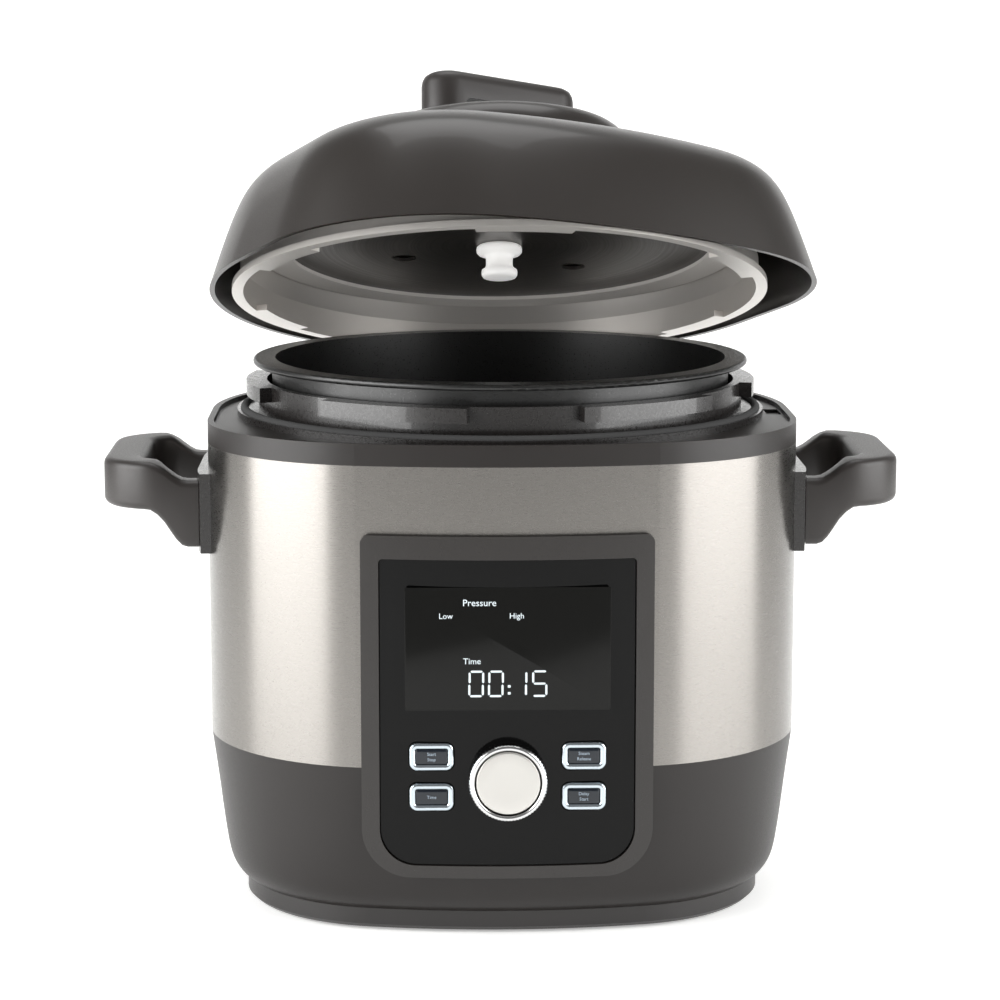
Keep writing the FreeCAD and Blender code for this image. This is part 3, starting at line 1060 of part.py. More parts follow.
def lid_shapes():
    """Write the lid: shell, steel lid, cap, handle, screws, valve pipe, valve and float."""
    float_at = polar(FLOAT_CIRCLE_R, FLOAT_BEARING)
    valve_at = polar(VALVE_CIRCLE_R, VALVE_BEARING)
    below = SHELL_TOP - SHELL_WALL - CUT
    shell = lid_shell_shape()
    cap = disc(CAP_R, SHELL_TOP, CAP_TOP)
    cap = cap.makeFillet(CAP_EDGE_R, [e for e in cap.Edges if e.BoundBox.ZMin > CAP_TOP - RUN])

    stem_bottom = CAP_TOP + SEAT - VALVE_STEM_LENGTH
    shell = shell.cut(disc(VALVE_STEM_R + RUN, below, CAP_TOP, valve_at))
    shell = shell.cut(disc(FLOAT_R + SEAT, below, CAP_TOP, float_at))
    cap = cap.cut(disc(VALVE_STEM_R + RUN, SHELL_TOP - CUT, CAP_TOP + CUT, valve_at))
    cap = cap.cut(disc(FLOAT_R + SEAT, SHELL_TOP - CUT, CAP_TOP + CUT, float_at))
    well = CAP_TOP - FLOAT_SINK - FLOAT_HEAD - SEAT
    cap = cap.cut(disc(FLOAT_HEAD_R + SEAT, well, CAP_TOP + CUT, float_at))

    post_x = (LID_HANDLE_LENGTH - LID_POST_LENGTH) / 2
    bar_z = CAP_TOP + LID_HANDLE_GAP
    handle = block((LID_HANDLE_LENGTH, LID_HANDLE_WIDTH, LID_HANDLE_THICKNESS), (0, 0), bar_z)
    post_size = (LID_POST_LENGTH, LID_HANDLE_WIDTH, LID_HANDLE_GAP)
    posts = [block(post_size, (side * post_x, 0), CAP_TOP) for side in (-1, 1)]
    handle = joined([handle] + posts)
    top_edges = [e for e in handle.Edges if e.BoundBox.ZMin > bar_z + LID_HANDLE_THICKNESS - RUN]
    handle = handle.makeFillet(LID_HANDLE_EDGE_R, top_edges)

    screws = []
    for x, y in LID_SCREW_POINTS:
        under = SHELL_TOP - SHELL_WALL
        hole = disc(LID_SCREW_R, under - CUT, under + LID_SCREW_LENGTH, (x, y))
        shell = shell.cut(hole)
        cap = cap.cut(hole)
        handle = handle.cut(hole)
        head = disc(LID_SCREW_HEAD_R, under - LID_SCREW_HEAD, under, (x, y))
        screws.append(head.fuse(disc(LID_SCREW_R, under - CUT, under + LID_SCREW_LENGTH, (x, y))))

    pipe = ring(VALVE_PIPE_R, VALVE_PIPE_BORE_R, LID_TOP_PLATE, stem_bottom - SEAT, valve_at)
    knob = disc(VALVE_KNOB_R, CAP_TOP + SEAT, CAP_TOP + SEAT + VALVE_KNOB_HEIGHT, valve_at)
    knob = knob.makeFillet(2.0, [e for e in knob.Edges if e.BoundBox.ZMin > CAP_TOP + VALVE_KNOB_HEIGHT])
    knob = knob.fuse(disc(VALVE_STEM_R, stem_bottom, CAP_TOP + CUT, valve_at))
    head_top = CAP_TOP - FLOAT_SINK
    pin = disc(FLOAT_R, SEAL_PLATE_TOP + CUT, head_top, float_at)
    pin = pin.fuse(disc(FLOAT_HEAD_R, head_top - FLOAT_HEAD, head_top, float_at))

    write("lid_shell", raised(shell))
    write("steel_lid", raised(steel_lid_shape()))
    write("lid_cap", raised(cap))
    write("lid_handle", raised(handle))
    write("lid_screws", *[raised(screw) for screw in screws])
    write("valve_pipe", raised(pipe))
    write("steam_valve", raised(knob))
    write("float_pin", raised(pin))


def seal_shapes():
    """Write the seal plate, sealing ring, centre stud and silicone pull knob."""
    groove_r = SEAL_PLATE_R + SEAT
    seal = ring(SEAL_R, SEAL_R - SEAL_WIDTH, SEAL_BOTTOM, SEAL_BOTTOM + SEAL_HEIGHT)
    seal = seal.cut(disc(groove_r, SEAL_PLATE_BOTTOM, SEAL_PLATE_TOP))
    write("sealing_ring", raised(seal))

    plate = disc(SEAL_PLATE_R, SEAL_PLATE_BOTTOM, SEAL_PLATE_TOP)
    for radius, bearing in ((VALVE_CIRCLE_R, VALVE_BEARING), (FLOAT_CIRCLE_R, FLOAT_BEARING)):
        port = disc(PLATE_PORT_R, SEAL_PLATE_BOTTOM - CUT, SEAL_PLATE_TOP + CUT, polar(radius, bearing))
        plate = plate.cut(port)
    plate = plate.cut(disc(STUD_R, SEAL_PLATE_BOTTOM - CUT, SEAL_PLATE_TOP + CUT))
    write("seal_plate", raised(plate))

    head_low = LID_TOP_PLATE + SEAT
    stud = disc(STUD_R, SEAL_PLATE_BOTTOM - KNOB_HEIGHT / 2, head_low + STUD_HEAD)
    stud = stud.fuse(disc(STUD_HEAD_R, head_low, head_low + STUD_HEAD))
    write("centre_stud", raised(stud))

    top = SEAL_PLATE_BOTTOM
    low = top - KNOB_HEIGHT
    knob = joined([
        disc(KNOB_TOP_R, top - KNOB_FLANGE, top),
        disc(KNOB_STEM_R, low + CUT, top - CUT),
        disc(KNOB_BOTTOM_R, low, low + KNOB_FLANGE),
    ])
    knob = knob.cut(disc(STUD_R, top - KNOB_HEIGHT / 2, top + CUT))
    write("silicone_knob", raised(knob))


# ================================================================ build
os.makedirs("parts", exist_ok=True)
base_shapes()
wrap_and_cover()
heater_shapes()
sensor_shapes()
panel_shapes()
key_shapes()
dial_shapes()
power_shapes()
wiring_shapes()
handle_shapes()
cup_shapes()
pot_shapes()
lid_shapes()
seal_shapes()
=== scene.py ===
import logging
import math
from dataclasses import dataclass, field
from enum import Enum
from typing import Iterable, Optional, Sequence

import bmesh
import bpy
from mathutils import Matrix, Vector


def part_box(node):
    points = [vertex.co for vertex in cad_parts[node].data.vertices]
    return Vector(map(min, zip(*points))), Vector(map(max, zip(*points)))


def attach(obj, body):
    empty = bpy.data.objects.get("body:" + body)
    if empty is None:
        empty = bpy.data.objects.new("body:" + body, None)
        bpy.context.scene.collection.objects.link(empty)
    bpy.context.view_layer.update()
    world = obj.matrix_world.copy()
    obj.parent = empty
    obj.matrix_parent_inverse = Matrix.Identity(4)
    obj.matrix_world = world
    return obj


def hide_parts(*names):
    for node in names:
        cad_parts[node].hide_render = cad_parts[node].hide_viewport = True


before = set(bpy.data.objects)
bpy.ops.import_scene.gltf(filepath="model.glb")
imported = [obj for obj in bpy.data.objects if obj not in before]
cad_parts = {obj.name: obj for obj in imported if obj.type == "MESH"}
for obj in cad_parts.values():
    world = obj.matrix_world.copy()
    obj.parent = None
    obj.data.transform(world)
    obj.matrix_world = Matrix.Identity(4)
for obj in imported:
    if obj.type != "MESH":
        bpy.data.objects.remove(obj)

# An electric pressure cooker with its lid raised: the pieces that are seen, modelled round
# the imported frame. Sizes in the classes are in millimetres, and the scene is in metres.

MM = 0.001
LOG = logging.getLogger("cooker")
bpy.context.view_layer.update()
CAPITAL_SHARE = 0.69      # height of a capital over the size of its font
Ring = list[Vector]
Outline = list[tuple[Vector, Vector]]


class Axis(Enum):
    """Way that a grain or a turned mark runs."""

    ACROSS = (1.0, 1.0, 14.0)
    UPRIGHT = (14.0, 14.0, 1.0)
    EVEN = (1.0, 1.0, 1.0)


# ---------------------------------------------------------------- colours and nodes
def linear(code: str) -> tuple[float, float, float, float]:
    """Turns an sRGB hex colour into linear light.

    Args:
        code: Six hex digits after a hash.

    Returns:
        Red, green, blue and an alpha of one.
    """
    parts = [int(code[i:i + 2], 16) / 255.0 for i in (1, 3, 5)]
    mixed = [p / 12.92 if p <= 0.04045 else ((p + 0.055) / 1.055) ** 2.4 for p in parts]
    return mixed[0], mixed[1], mixed[2], 1.0


def add_node(tree: bpy.types.NodeTree, kind: str, settings: Optional[dict] = None,
             links: Optional[dict] = None) -> bpy.types.Node:
    """Adds one shader node with its settings and links.

    Args:
        tree: Node tree that gets it.
        kind: Blender's name of the node.
        settings: Attribute or input name to value.
        links: Input name to the output socket that feeds it.

    Returns:
        The node.
    """
    made = tree.nodes.new(kind)
    for key, value in (settings or {}).items():
        if isinstance(key, str) and hasattr(made, key):
            setattr(made, key, value)
        else:
            made.inputs[key].default_value = value
    for key, source in (links or {}).items():
        tree.links.new(source, made.inputs[key])
    return made


# ---------------------------------------------------------------- finishes
@dataclass(frozen=True)
class Finish:
    """A surface finish: a colour with slow drift, a grain, and how it takes the light."""

    name: str
    colour: str
    drift: str
    roughness: float
    spread: float = 0.06
    metallic: float = 0.0
    grain_mm: float = 0.6
    relief_mm: float = 0.02
    drift_mm: float = 60.0
    run: Axis = Axis.EVEN
    coat: float = 0.0
    specular: float = 0.5
    ior: float = 1.5
    anisotropy: float = 0.0
    transmission: float = 0.0
    sheen: float = 0.0
    glow: float = 0.0

    def make(self) -> bpy.types.Material:
        """Builds the material once and gives it back each time.

        Returns:
            The material.
        """
        known = bpy.data.materials.get(self.name)
        if known:
            return known
        material = bpy.data.materials.new(self.name)
        material.use_nodes = True
        tree = material.node_tree
        tree.nodes.clear()
        where = add_node(tree, "ShaderNodeTexCoord").outputs["Object"]
        drift = add_node(tree, "ShaderNodeTexNoise", {
            "Scale": 1.0 / (self.drift_mm * MM), "Detail": 3.0, "Roughness": 0.55}, {"Vector": where})
        grain = self.grain(tree, where)
        colour = add_node(tree, "ShaderNodeMix", {"data_type": "RGBA"}, {
            0: drift.outputs["Fac"]})
        colour.inputs[6].default_value = linear(self.colour)
        colour.inputs[7].default_value = linear(self.drift)
        rough = add_node(tree, "ShaderNodeMapRange", {
            "From Min": 0.3, "From Max": 0.7,
            "To Min": max(0.02, self.roughness - self.spread),
            "To Max": min(1.0, self.roughness + self.spread)}, {"Value": grain})
        bump = add_node(tree, "ShaderNodeBump", {
            "Strength": 1.0, "Distance": self.relief_mm * MM}, {"Height": grain})
        shader = add_node(tree, "ShaderNodeBsdfPrincipled", {
            "Metallic": self.metallic, "Coat Weight": self.coat, "Coat Roughness": 0.06,
            "Specular IOR Level": self.specular, "Anisotropic": self.anisotropy,
            "Anisotropic Rotation": 0.25 if self.anisotropy else 0.0,
            "Transmission Weight": self.transmission, "Sheen Weight": self.sheen,
            "Emission Strength": self.glow, "Emission Color": linear(self.colour)},
            {"Base Color": colour.outputs[2], "Roughness": rough.outputs[0],
             "Normal": bump.outputs["Normal"]})
        if self.metallic < 0.5:
            shader.inputs["IOR"].default_value = self.ior
        add_node(tree, "ShaderNodeOutputMaterial", links={"Surface": shader.outputs[0]})
        return material

    def grain(self, tree: bpy.types.NodeTree, where: bpy.types.NodeSocket) -> bpy.types.NodeSocket:
        """Adds the fine texture of the surface.

        Args:
            tree: Node tree of the material.
            where: Socket with the object coordinates.

        Returns:
            Socket with the grain's height, around one half.
        """
        stretch = add_node(tree, "ShaderNodeMapping", {"Scale": self.run.value}, {"Vector": where})
        return add_node(tree, "ShaderNodeTexNoise", {
            "Scale": 1.0 / (self.grain_mm * MM), "Detail": 4.0, "Roughness": 0.6},
            {"Vector": stretch.outputs[0]}).outputs["Fac"]


@dataclass(frozen=True)
class TurnedFinish(Finish):
    """A finish whose marks run in rings about an axis, as a lathe or a spinning pad leaves."""

    centre: tuple[float, float, float] = (0.0, 0.0, 0.0)
    tilt: tuple[float, float, float] = (0.0, 0.0, 0.0)

    def grain(self, tree: bpy.types.NodeTree, where: bpy.types.NodeSocket) -> bpy.types.NodeSocket:
        """Adds rings of fine marks about the finish's own axis.

        Args:
            tree: Node tree of the material.
            where: Socket with the object coordinates.

        Returns:
            Socket with the height of the marks.
        """
        turned = add_node(tree, "ShaderNodeMapping", {
            "vector_type": "TEXTURE", "Location": self.centre, "Rotation": self.tilt}, {"Vector": where})
        split = add_node(tree, "ShaderNodeSeparateXYZ", links={0: turned.outputs[0]})
        flat = add_node(tree, "ShaderNodeCombineXYZ", links={0: split.outputs[0], 1: split.outputs[1]})
        radius = add_node(tree, "ShaderNodeVectorMath", {"operation": "LENGTH"}, {0: flat.outputs[0]})
        along = add_node(tree, "ShaderNodeCombineXYZ", links={0: radius.outputs["Value"]})
        return add_node(tree, "ShaderNodeTexNoise", {
            "Scale": 1.0 / (self.grain_mm * MM), "Detail": 5.0, "Roughness": 0.7},
            {"Vector": along.outputs[0]}).outputs["Fac"]


# The raised lid's axis, which its turned marks run about: its tilt, and the middle of its rim in metres.
LID_TILT_DEGREES = 19.0
LID_TILT = (math.radians(-LID_TILT_DEGREES), 0.0, 0.0)
LID_CENTRE = (0.0, 0.0085, 0.2853)

# Moulded PP housing: a spark-eroded mould leaves a satin grain of about 0.5 mm, warm black.
HOUSING = Finish("warm_black_moulded_pp", "#15110f", "#1b1715", 0.4, 0.08, grain_mm=0.5, relief_mm=0.012,
                 specular=0.4)
# The lid comes from a smoother mould, so its highlight is a little glossier.
LID_SHELL = Finish("lid_moulded_pp", "#1d1916", "#24201d", 0.34, 0.06, grain_mm=0.5, relief_mm=0.01,
                   coat=0.12)
# Glass-filled nylon: coarser grain than the housing, duller, and a shade lighter.
HANDLE = Finish("handle_moulded_nylon", "#211d1b", "#282422", 0.42, 0.08, grain_mm=0.7, relief_mm=0.018)
# Valve and bottom plate in plain satin PP.
BLACK_PLASTIC = Finish("valve_moulded_pp", "#1b1918", "#221f1e", 0.4, 0.08, grain_mm=0.5, relief_mm=0.012)
# Stainless wrap: a belt leaves long level scratches, drawn 0.25 mm apart, coarser than real, so they show.
BRUSHED = Finish("brushed_stainless", "#827f7b", "#8a8783", 0.29, 0.05, 1.0, grain_mm=3.4, relief_mm=0.004,
                 drift_mm=160.0, run=Axis.ACROSS, anisotropy=0.8)
# Enamelled collar: gloss over a faint ripple of 1.4 mm.
ENAMEL = Finish("black_enamel", "#171514", "#1e1b1a", 0.3, 0.08, grain_mm=1.4, relief_mm=0.02, coat=0.3)
# Bezel in ABS: an even satin that catches a thin line of light on its edge.
FRAME_PLASTIC = Finish("bezel_moulded_abs", "#1c1917", "#23201e", 0.32, 0.06, grain_mm=0.5, relief_mm=0.008)
# Polished acrylic lens: deep black with a clear, weak reflection.
GLOSS = Finish("polished_black_acrylic", "#040404", "#060606", 0.09, 0.02, grain_mm=9.0, relief_mm=0.002,
               specular=0.16)
# Dark display window, a touch lighter than the lens round it.
GLASS = Finish("display_dark_glass", "#131312", "#151514", 0.12, 0.02, grain_mm=9.0, relief_mm=0.002,
               specular=0.16)
# Lit segments: pale blue-white, with a low glow.
LIT_INK = Finish("display_lit_segment", "#c9d2d6", "#bcc6cb", 0.5, 0.05, grain_mm=0.4, relief_mm=0.002,
                 glow=0.25)
# Plated ABS: satin metal that reads as a pale outline round each key.
KEY_RING = Finish("satin_plated_abs", "#b9c3ca", "#c6cfd5", 0.22, 0.05, 1.0, grain_mm=0.4, relief_mm=0.003)
# Polished key cap in blue-black ABS.
KEY_FACE = Finish("polished_navy_abs", "#0e141b", "#131a22", 0.16, 0.03, grain_mm=4.0, relief_mm=0.003)
# Pad-printed ink: flat pale grey.
LABEL_INK = Finish("pad_printed_ink", "#9aa7b2", "#8b98a4", 0.5, 0.05, grain_mm=0.3, relief_mm=0.002)
# Chromed rim: sharp reflections broken up by the knurl.
CHROME = Finish("chromed_dial_rim", "#d8d8d8", "#c9c9c9", 0.12, 0.04, 1.0, grain_mm=0.8, relief_mm=0.002)
# Faced on a lathe: fine rings 0.25 mm apart.
DIAL_FACE = TurnedFinish("turned_satin_aluminium", "#c6c4bf", "#cfcdc9", 0.38, 0.08, 1.0, grain_mm=0.25,
                         relief_mm=0.004, centre=(0.0, 0.0, 0.0782), tilt=(math.pi / 2, 0.0, 0.0))
# Nonstick coating: black with a dull sheen and a fine spatter.
POT = Finish("pot_nonstick_coating", "#101010", "#161615", 0.33, 0.08, grain_mm=0.8, relief_mm=0.015)
# Pressed stainless: a pale, even satin without a grain direction.
LID_STEEL = Finish("pressed_lid_steel", "#d8d4cf", "#cfcbc6", 0.34, 0.04, 0.6, grain_mm=1.2, relief_mm=0.002,
                   drift_mm=50.0)
# Inner plate: sheet spun to shape, which leaves faint rings about 1.5 mm apart; its dark grey is painted
# shade for the underside of the raised lid.
PLATE_STEEL = TurnedFinish("spun_plate_steel_painted_shade", "#4b4845", "#55514e", 0.34, 0.09, 0.8, grain_mm=1.5,
                           relief_mm=0.012, drift_mm=50.0, centre=LID_CENTRE, tilt=LID_TILT)
# Silicone seal: pale grey and soft, with a faint painted glow that brightens it in the shade under the lid.
GASKET = Finish("grey_silicone_painted_glow", "#cac6c1", "#d2cec9", 0.5, 0.06, grain_mm=0.9, relief_mm=0.01, sheen=0.1,
                glow=0.06)
# White silicone knob: matt, with a painted glow that brightens it in the shade under the lid.
SPOOL = Finish("white_silicone_painted_glow", "#f0efed", "#f5f4f2", 0.45, 0.06, grain_mm=0.9, relief_mm=0.01, sheen=0.1,
               glow=0.3)
# Rubber: near black and quite matt.
RUBBER = Finish("black_rubber", "#131313", "#191818", 0.65, 0.08, grain_mm=0.5, relief_mm=0.03)
# Zinc plating on screws and springs: bright and a little uneven.
ZINC = Finish("zinc_plated_steel", "#b4b4ae", "#a5a59e", 0.3, 0.08, 1.0, grain_mm=0.5, relief_mm=0.004)
# Cast aluminium with a turned face, in rings about the pot's axis.
CAST = TurnedFinish("cast_aluminium_turned", "#b9b9b8", "#c4c4c3", 0.4, 0.08, 1.0, grain_mm=0.5,
                    relief_mm=0.01)
# Mill-finish aluminium: faint level rolling lines.
SHEET = Finish("mill_aluminium", "#b0b0af", "#bcbcbb", 0.36, 0.08, 1.0, grain_mm=2.0, relief_mm=0.006,
               run=Axis.ACROSS)
# Solder mask: glossy deep green.
BOARD = Finish("green_solder_mask", "#0c4a26", "#0a3f20", 0.35, 0.06, grain_mm=1.2, relief_mm=0.02)
# Moulded epoxy of the components: matt black.
PART_BLACK = Finish("component_epoxy", "#171717", "#1e1e1e", 0.5, 0.08, grain_mm=0.4, relief_mm=0.02)
# Winding tape: yellow, with its edges upright.
PART_YELLOW = Finish("winding_tape", "#c79a1f", "#b88c18", 0.45, 0.08, grain_mm=0.9, relief_mm=0.02,
                     run=Axis.UPRIGHT)
# Capacitor resin: dipped, smooth and blue.
PART_BLUE = Finish("capacitor_resin", "#173a72", "#1c4382", 0.35, 0.08, grain_mm=0.6, relief_mm=0.01)
# Nickel brass of the inlet's pins: smooth and yellowish.
BRASS = Finish("nickel_brass", "#c9a765", "#bd9b5a", 0.28, 0.06, 1.0, grain_mm=0.5, relief_mm=0.004)
# Clear SAN of the condensate cup: see-through, with a crisp highlight.
CLEAR = Finish("clear_san", "#dfe4e6", "#d6dcdf", 0.12, 0.03, grain_mm=6.0, relief_mm=0.004,
               transmission=0.85, ior=1.57)
# Silicone sleeve of the wires: dull red.
SLEEVE = Finish("wire_silicone_sleeve", "#8c2119", "#7d1c15", 0.5, 0.08, grain_mm=0.5, relief_mm=0.01)
# PVC ribbon: grey, with upright ribs.
RIBBON = Finish("ribbon_pvc", "#9a9a9e", "#8e8e93", 0.45, 0.06, grain_mm=1.0, relief_mm=0.02,
                run=Axis.UPRIGHT)
# Glazed ceramic: cream, with a wet gloss.
CERAMIC = Finish("glazed_ceramic", "#e0ddd4", "#d8d4ca", 0.2, 0.05, grain_mm=1.6, relief_mm=0.01, coat=0.4)
# Red enamel of the float: glossy.
FLOAT_RED = Finish("float_enamel", "#8f1712", "#9c1c16", 0.3, 0.06, grain_mm=0.5, relief_mm=0.01, coat=0.3)
# Studio paper: near white, matt, and slightly lit from within.
FLOOR = Finish("studio_paper", "#f4f4f3", "#f6f6f5", 0.85, 0.05, grain_mm=2.0, relief_mm=0.02, glow=0.4)

SLOT_FINISH: dict[str, Finish] = {
    "warm_black_plastic": HOUSING, "brushed_steel": BRUSHED, "handle_plastic": HANDLE,
    "black_rubber": RUBBER, "zinc_steel": ZINC, "collar_black": ENAMEL, "panel_frame": FRAME_PLASTIC,
    "panel_gloss": GLOSS, "display": GLASS, "circuit_board": BOARD, "component_black": PART_BLACK,
    "component_yellow": PART_YELLOW, "component_blue": PART_BLUE, "aluminium_cast": CAST,
    "aluminium_sheet": SHEET, "spring_steel": ZINC, "pot_coating": POT, "stainless_satin": LID_STEEL,
    "silicone_grey": GASKET, "silicone_white": SPOOL, "lid_steel_effect": LID_SHELL,
    "key_trim": KEY_RING, "key_dark": KEY_FACE, "dial_chrome": CHROME, "dial_satin": DIAL_FACE,
    "brass": BRASS, "clear_cup": CLEAR, "wire_sleeve": SLEEVE, "ribbon_grey": RIBBON,
    "ceramic_white": CERAMIC, "valve_plastic": BLACK_PLASTIC, "float_red": FLOAT_RED,
}

NODE_FINISH: dict[str, Finish] = {"seal_plate": PLATE_STEEL, "feet": RUBBER, "bottom_plate": BLACK_PLASTIC}


# ---------------------------------------------------------------- bench: modelling by hand
def clear_selection() -> None:
    """Leaves edit mode and deselects everything."""
    if bpy.context.object and bpy.context.object.mode != "OBJECT":
        bpy.ops.object.mode_set(mode="OBJECT")
    bpy.ops.object.select_all(action="DESELECT")


def pick(piece: bpy.types.Object) -> None:
    """Makes one object the only selected and the active one."""
    clear_selection()
    piece.select_set(True)
    bpy.context.view_layer.objects.active = piece


def place_selected(ring: Ring, previous: Ring) -> None:
    """Moves the selected loop of the mesh in edit mode from one ring to the next.

    Args:
        ring: New places, in millimetres.
        previous: Places that the selected points have now, in the same order.
    """
    mesh = bmesh.from_edit_mesh(bpy.context.object.data)
    lookup = {tuple(round(c, 4) for c in point): i for i, point in enumerate(previous)}
    for vert in mesh.verts:
        if vert.select:
            key = tuple(round(c / MM, 4) for c in vert.co)
            index = lookup.get(key)
            if index is None:
                index = min(range(len(previous)), key=lambda i: (previous[i] - vert.co / MM).length)
            vert.co = ring[index] * MM
    bmesh.update_edit_mesh(bpy.context.object.data)


def lofted(name: str, rings: Sequence[Ring], closed: bool = False) -> bpy.types.Object:
    """Extrudes a loop through a row of rings, as a maker extrudes and scales step by step.

    Args:
        name: Name of the piece.
        rings: Rings of equal length, in millimetres.
        closed: True if the last ring runs back into the first; otherwise both ends are filled.

    Returns:
        The new mesh object.
    """
    clear_selection()
    fill = "NOTHING" if closed else "NGON"
    bpy.ops.mesh.primitive_circle_add(vertices=len(rings[0]), radius=1.0, fill_type=fill)
    piece = bpy.context.object
    piece.name = name
    piece.data.name = name
    for vert, point in zip(piece.data.vertices, rings[0]):
        vert.co = point * MM
    bpy.ops.object.mode_set(mode="EDIT")
    bpy.ops.mesh.select_all(action="SELECT")
    before = list(rings[0])
    for ring in list(rings[1:]) + ([rings[0]] if closed else []):
        bpy.ops.mesh.extrude_region_move()
        place_selected(ring, before)
        before = list(ring)
    bpy.ops.mesh.select_all(action="SELECT")
    if closed:
        bpy.ops.mesh.remove_doubles(threshold=1e-7)
    bpy.ops.mesh.normals_make_consistent(inside=False)
    bpy.ops.object.mode_set(mode="OBJECT")
    return piece


def apply_modifier(piece: bpy.types.Object, kind: str, **settings: object) -> None:
    """Adds a modifier with its settings and applies it.

    Args:
        piece: Object that it shapes.
        kind: Blender's name of the modifier.
        settings: Its settings by name.
    """
    pick(piece)
    made = piece.modifiers.new(kind.title(), kind)
    for key, value in settings.items():
        setattr(made, key, value)
    bpy.ops.object.modifier_apply(modifier=made.name)


def soften(piece: bpy.types.Object, width: float, segments: int = 3, angle: float = 35.0) -> None:
    """Rounds the sharp edges of a piece by a width in millimetres."""
    apply_modifier(piece, "BEVEL", width=width * MM, segments=segments, limit_method="ANGLE",
                   angle_limit=math.radians(angle), harden_normals=False)


def cut(piece: bpy.types.Object, *tools: bpy.types.Object) -> None:
    """Cuts tools out of a piece, and takes the tools away.

    Args:
        piece: Object that is cut.
        tools: Closed objects with the shape of the holes.
    """
    for tool in tools:
        apply_modifier(piece, "BOOLEAN", operation="DIFFERENCE", object=tool, solver="EXACT")
        bpy.data.objects.remove(tool, do_unlink=True)


def join(first: bpy.types.Object, *others: bpy.types.Object) -> bpy.types.Object:
    """Joins loose pieces into one object.

    Args:
        first: Piece that the others go into.
        others: The other pieces.

    Returns:
        The first piece.
    """
    pick(first)
    for other in others:
        other.select_set(True)
    bpy.ops.object.join()
    return first


def moved(piece: bpy.types.Object, matrix: Matrix) -> bpy.types.Object:
    """Moves a piece and puts its place into its mesh.

    Args:
        piece: Object to move.
        matrix: The move, in metres.

    Returns:
        The piece, at the origin.
    """
    piece.matrix_world = matrix @ piece.matrix_world
    pick(piece)
    bpy.ops.object.transform_apply(location=True, rotation=True, scale=True)
    return piece


def slab(name: str, size: tuple[float, float, float],
         centre: tuple[float, float, float]) -> bpy.types.Object:
    """Adds a box to cut with.

    Args:
        name: Name of the tool.
        size: Its sides, in millimetres.
        centre: Its middle, in millimetres.

    Returns:
        The box.
    """
    clear_selection()
    bpy.ops.mesh.primitive_cube_add(size=1.0)
    piece = bpy.context.object
    piece.name = name
    shape = Matrix.Diagonal((*[s * MM for s in size], 1.0))
    return moved(piece, Matrix.Translation([c * MM for c in centre]) @ shape)


def copy_of(piece: bpy.types.Object, name: str) -> bpy.types.Object:
    """Copies a piece, with its own mesh.

    Args:
        piece: The pattern.
        name: Name of the copy.

    Returns:
        The copy.
    """
    twin = piece.copy()
    twin.data = piece.data.copy()
    twin.name = name
    bpy.context.scene.collection.objects.link(twin)
    return twin


def words(name: str, text: str, height: float, at: tuple[float, float, float],
          thick: float = 0.06) -> bpy.types.Object:
    """Sets a word that faces the front, as a mesh.

    Args:
        name: Name of the piece.
        text: What it says.
        height: Height of a capital, in millimetres.
        at: Middle of the word, in millimetres.
        thick: How far the ink stands proud, in millimetres.

    Returns:
        The mesh object.
    """
    clear_selection()
    bpy.ops.object.text_add()
    piece = bpy.context.object
    piece.name = name
    piece.data.body = text
    piece.data.align_x = "CENTER"
    piece.data.align_y = "CENTER"
    piece.data.size = height / CAPITAL_SHARE * MM
    piece.data.extrude = thick / 2 * MM
    piece.data.resolution_u = 3
    bpy.ops.object.convert(target="MESH")
    stand = Matrix.Rotation(math.pi / 2, 4, "X")
    return moved(piece, Matrix.Translation([c * MM for c in at]) @ stand)


def middle_of(node: str) -> tuple[Vector, Vector, Vector]:
    """Returns a node's middle and its lowest and highest corners, in millimetres."""
    low, high = (Vector(c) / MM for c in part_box(node))
    return (low + high) / 2, low, high


def dress(piece: bpy.types.Object, finish: Finish, body: str, nodes: Iterable[str] = (),
          angle: float = 32.0) -> bpy.types.Object:
    """Gives a finished piece its finish, its body, and the nodes that it stands for.

    Args:
        piece: The mesh object.
        finish: Its finish.
        body: Body that it rides on.
        nodes: Nodes of the frame that it replaces.
        angle: Edges flatter than this are shaded smooth, in degrees.

    Returns:
        The piece.
    """
    pick(piece)
    bpy.ops.object.shade_smooth_by_angle(angle=math.radians(angle))
    piece.data.materials.clear()
    piece.data.materials.append(finish.make())
    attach(piece, body)
    if nodes:
        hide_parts(*nodes)
    LOG.info("%s: %d faces, on %s", piece.name, len(piece.data.polygons), body)
    return piece


# ---------------------------------------------------------------- outlines
def polar(radius: float, bearing: float) -> tuple[float, float]:
    """Returns the place at a radius and a bearing in degrees."""
    return radius * math.cos(math.radians(bearing)), radius * math.sin(math.radians(bearing))


def round_ring(radius: float, z: float, count: int = 128, centre: tuple[float, float] = (0.0, 0.0)) -> Ring:
    """Returns a level ring of points about an upright axis."""
    turn = 2 * math.pi / count
    return [Vector((centre[0] + radius * math.cos(i * turn), centre[1] + radius * math.sin(i * turn), z))
            for i in range(count)]


def turned(name: str, profile: Sequence[tuple[float, float]], count: int = 128,
           centre: tuple[float, float] = (0.0, 0.0), closed: bool = False) -> bpy.types.Object:
    """Returns a piece turned about an upright axis from a profile of (radius, height)."""
    return lofted(name, [round_ring(r, z, count, centre) for r, z in profile], closed)


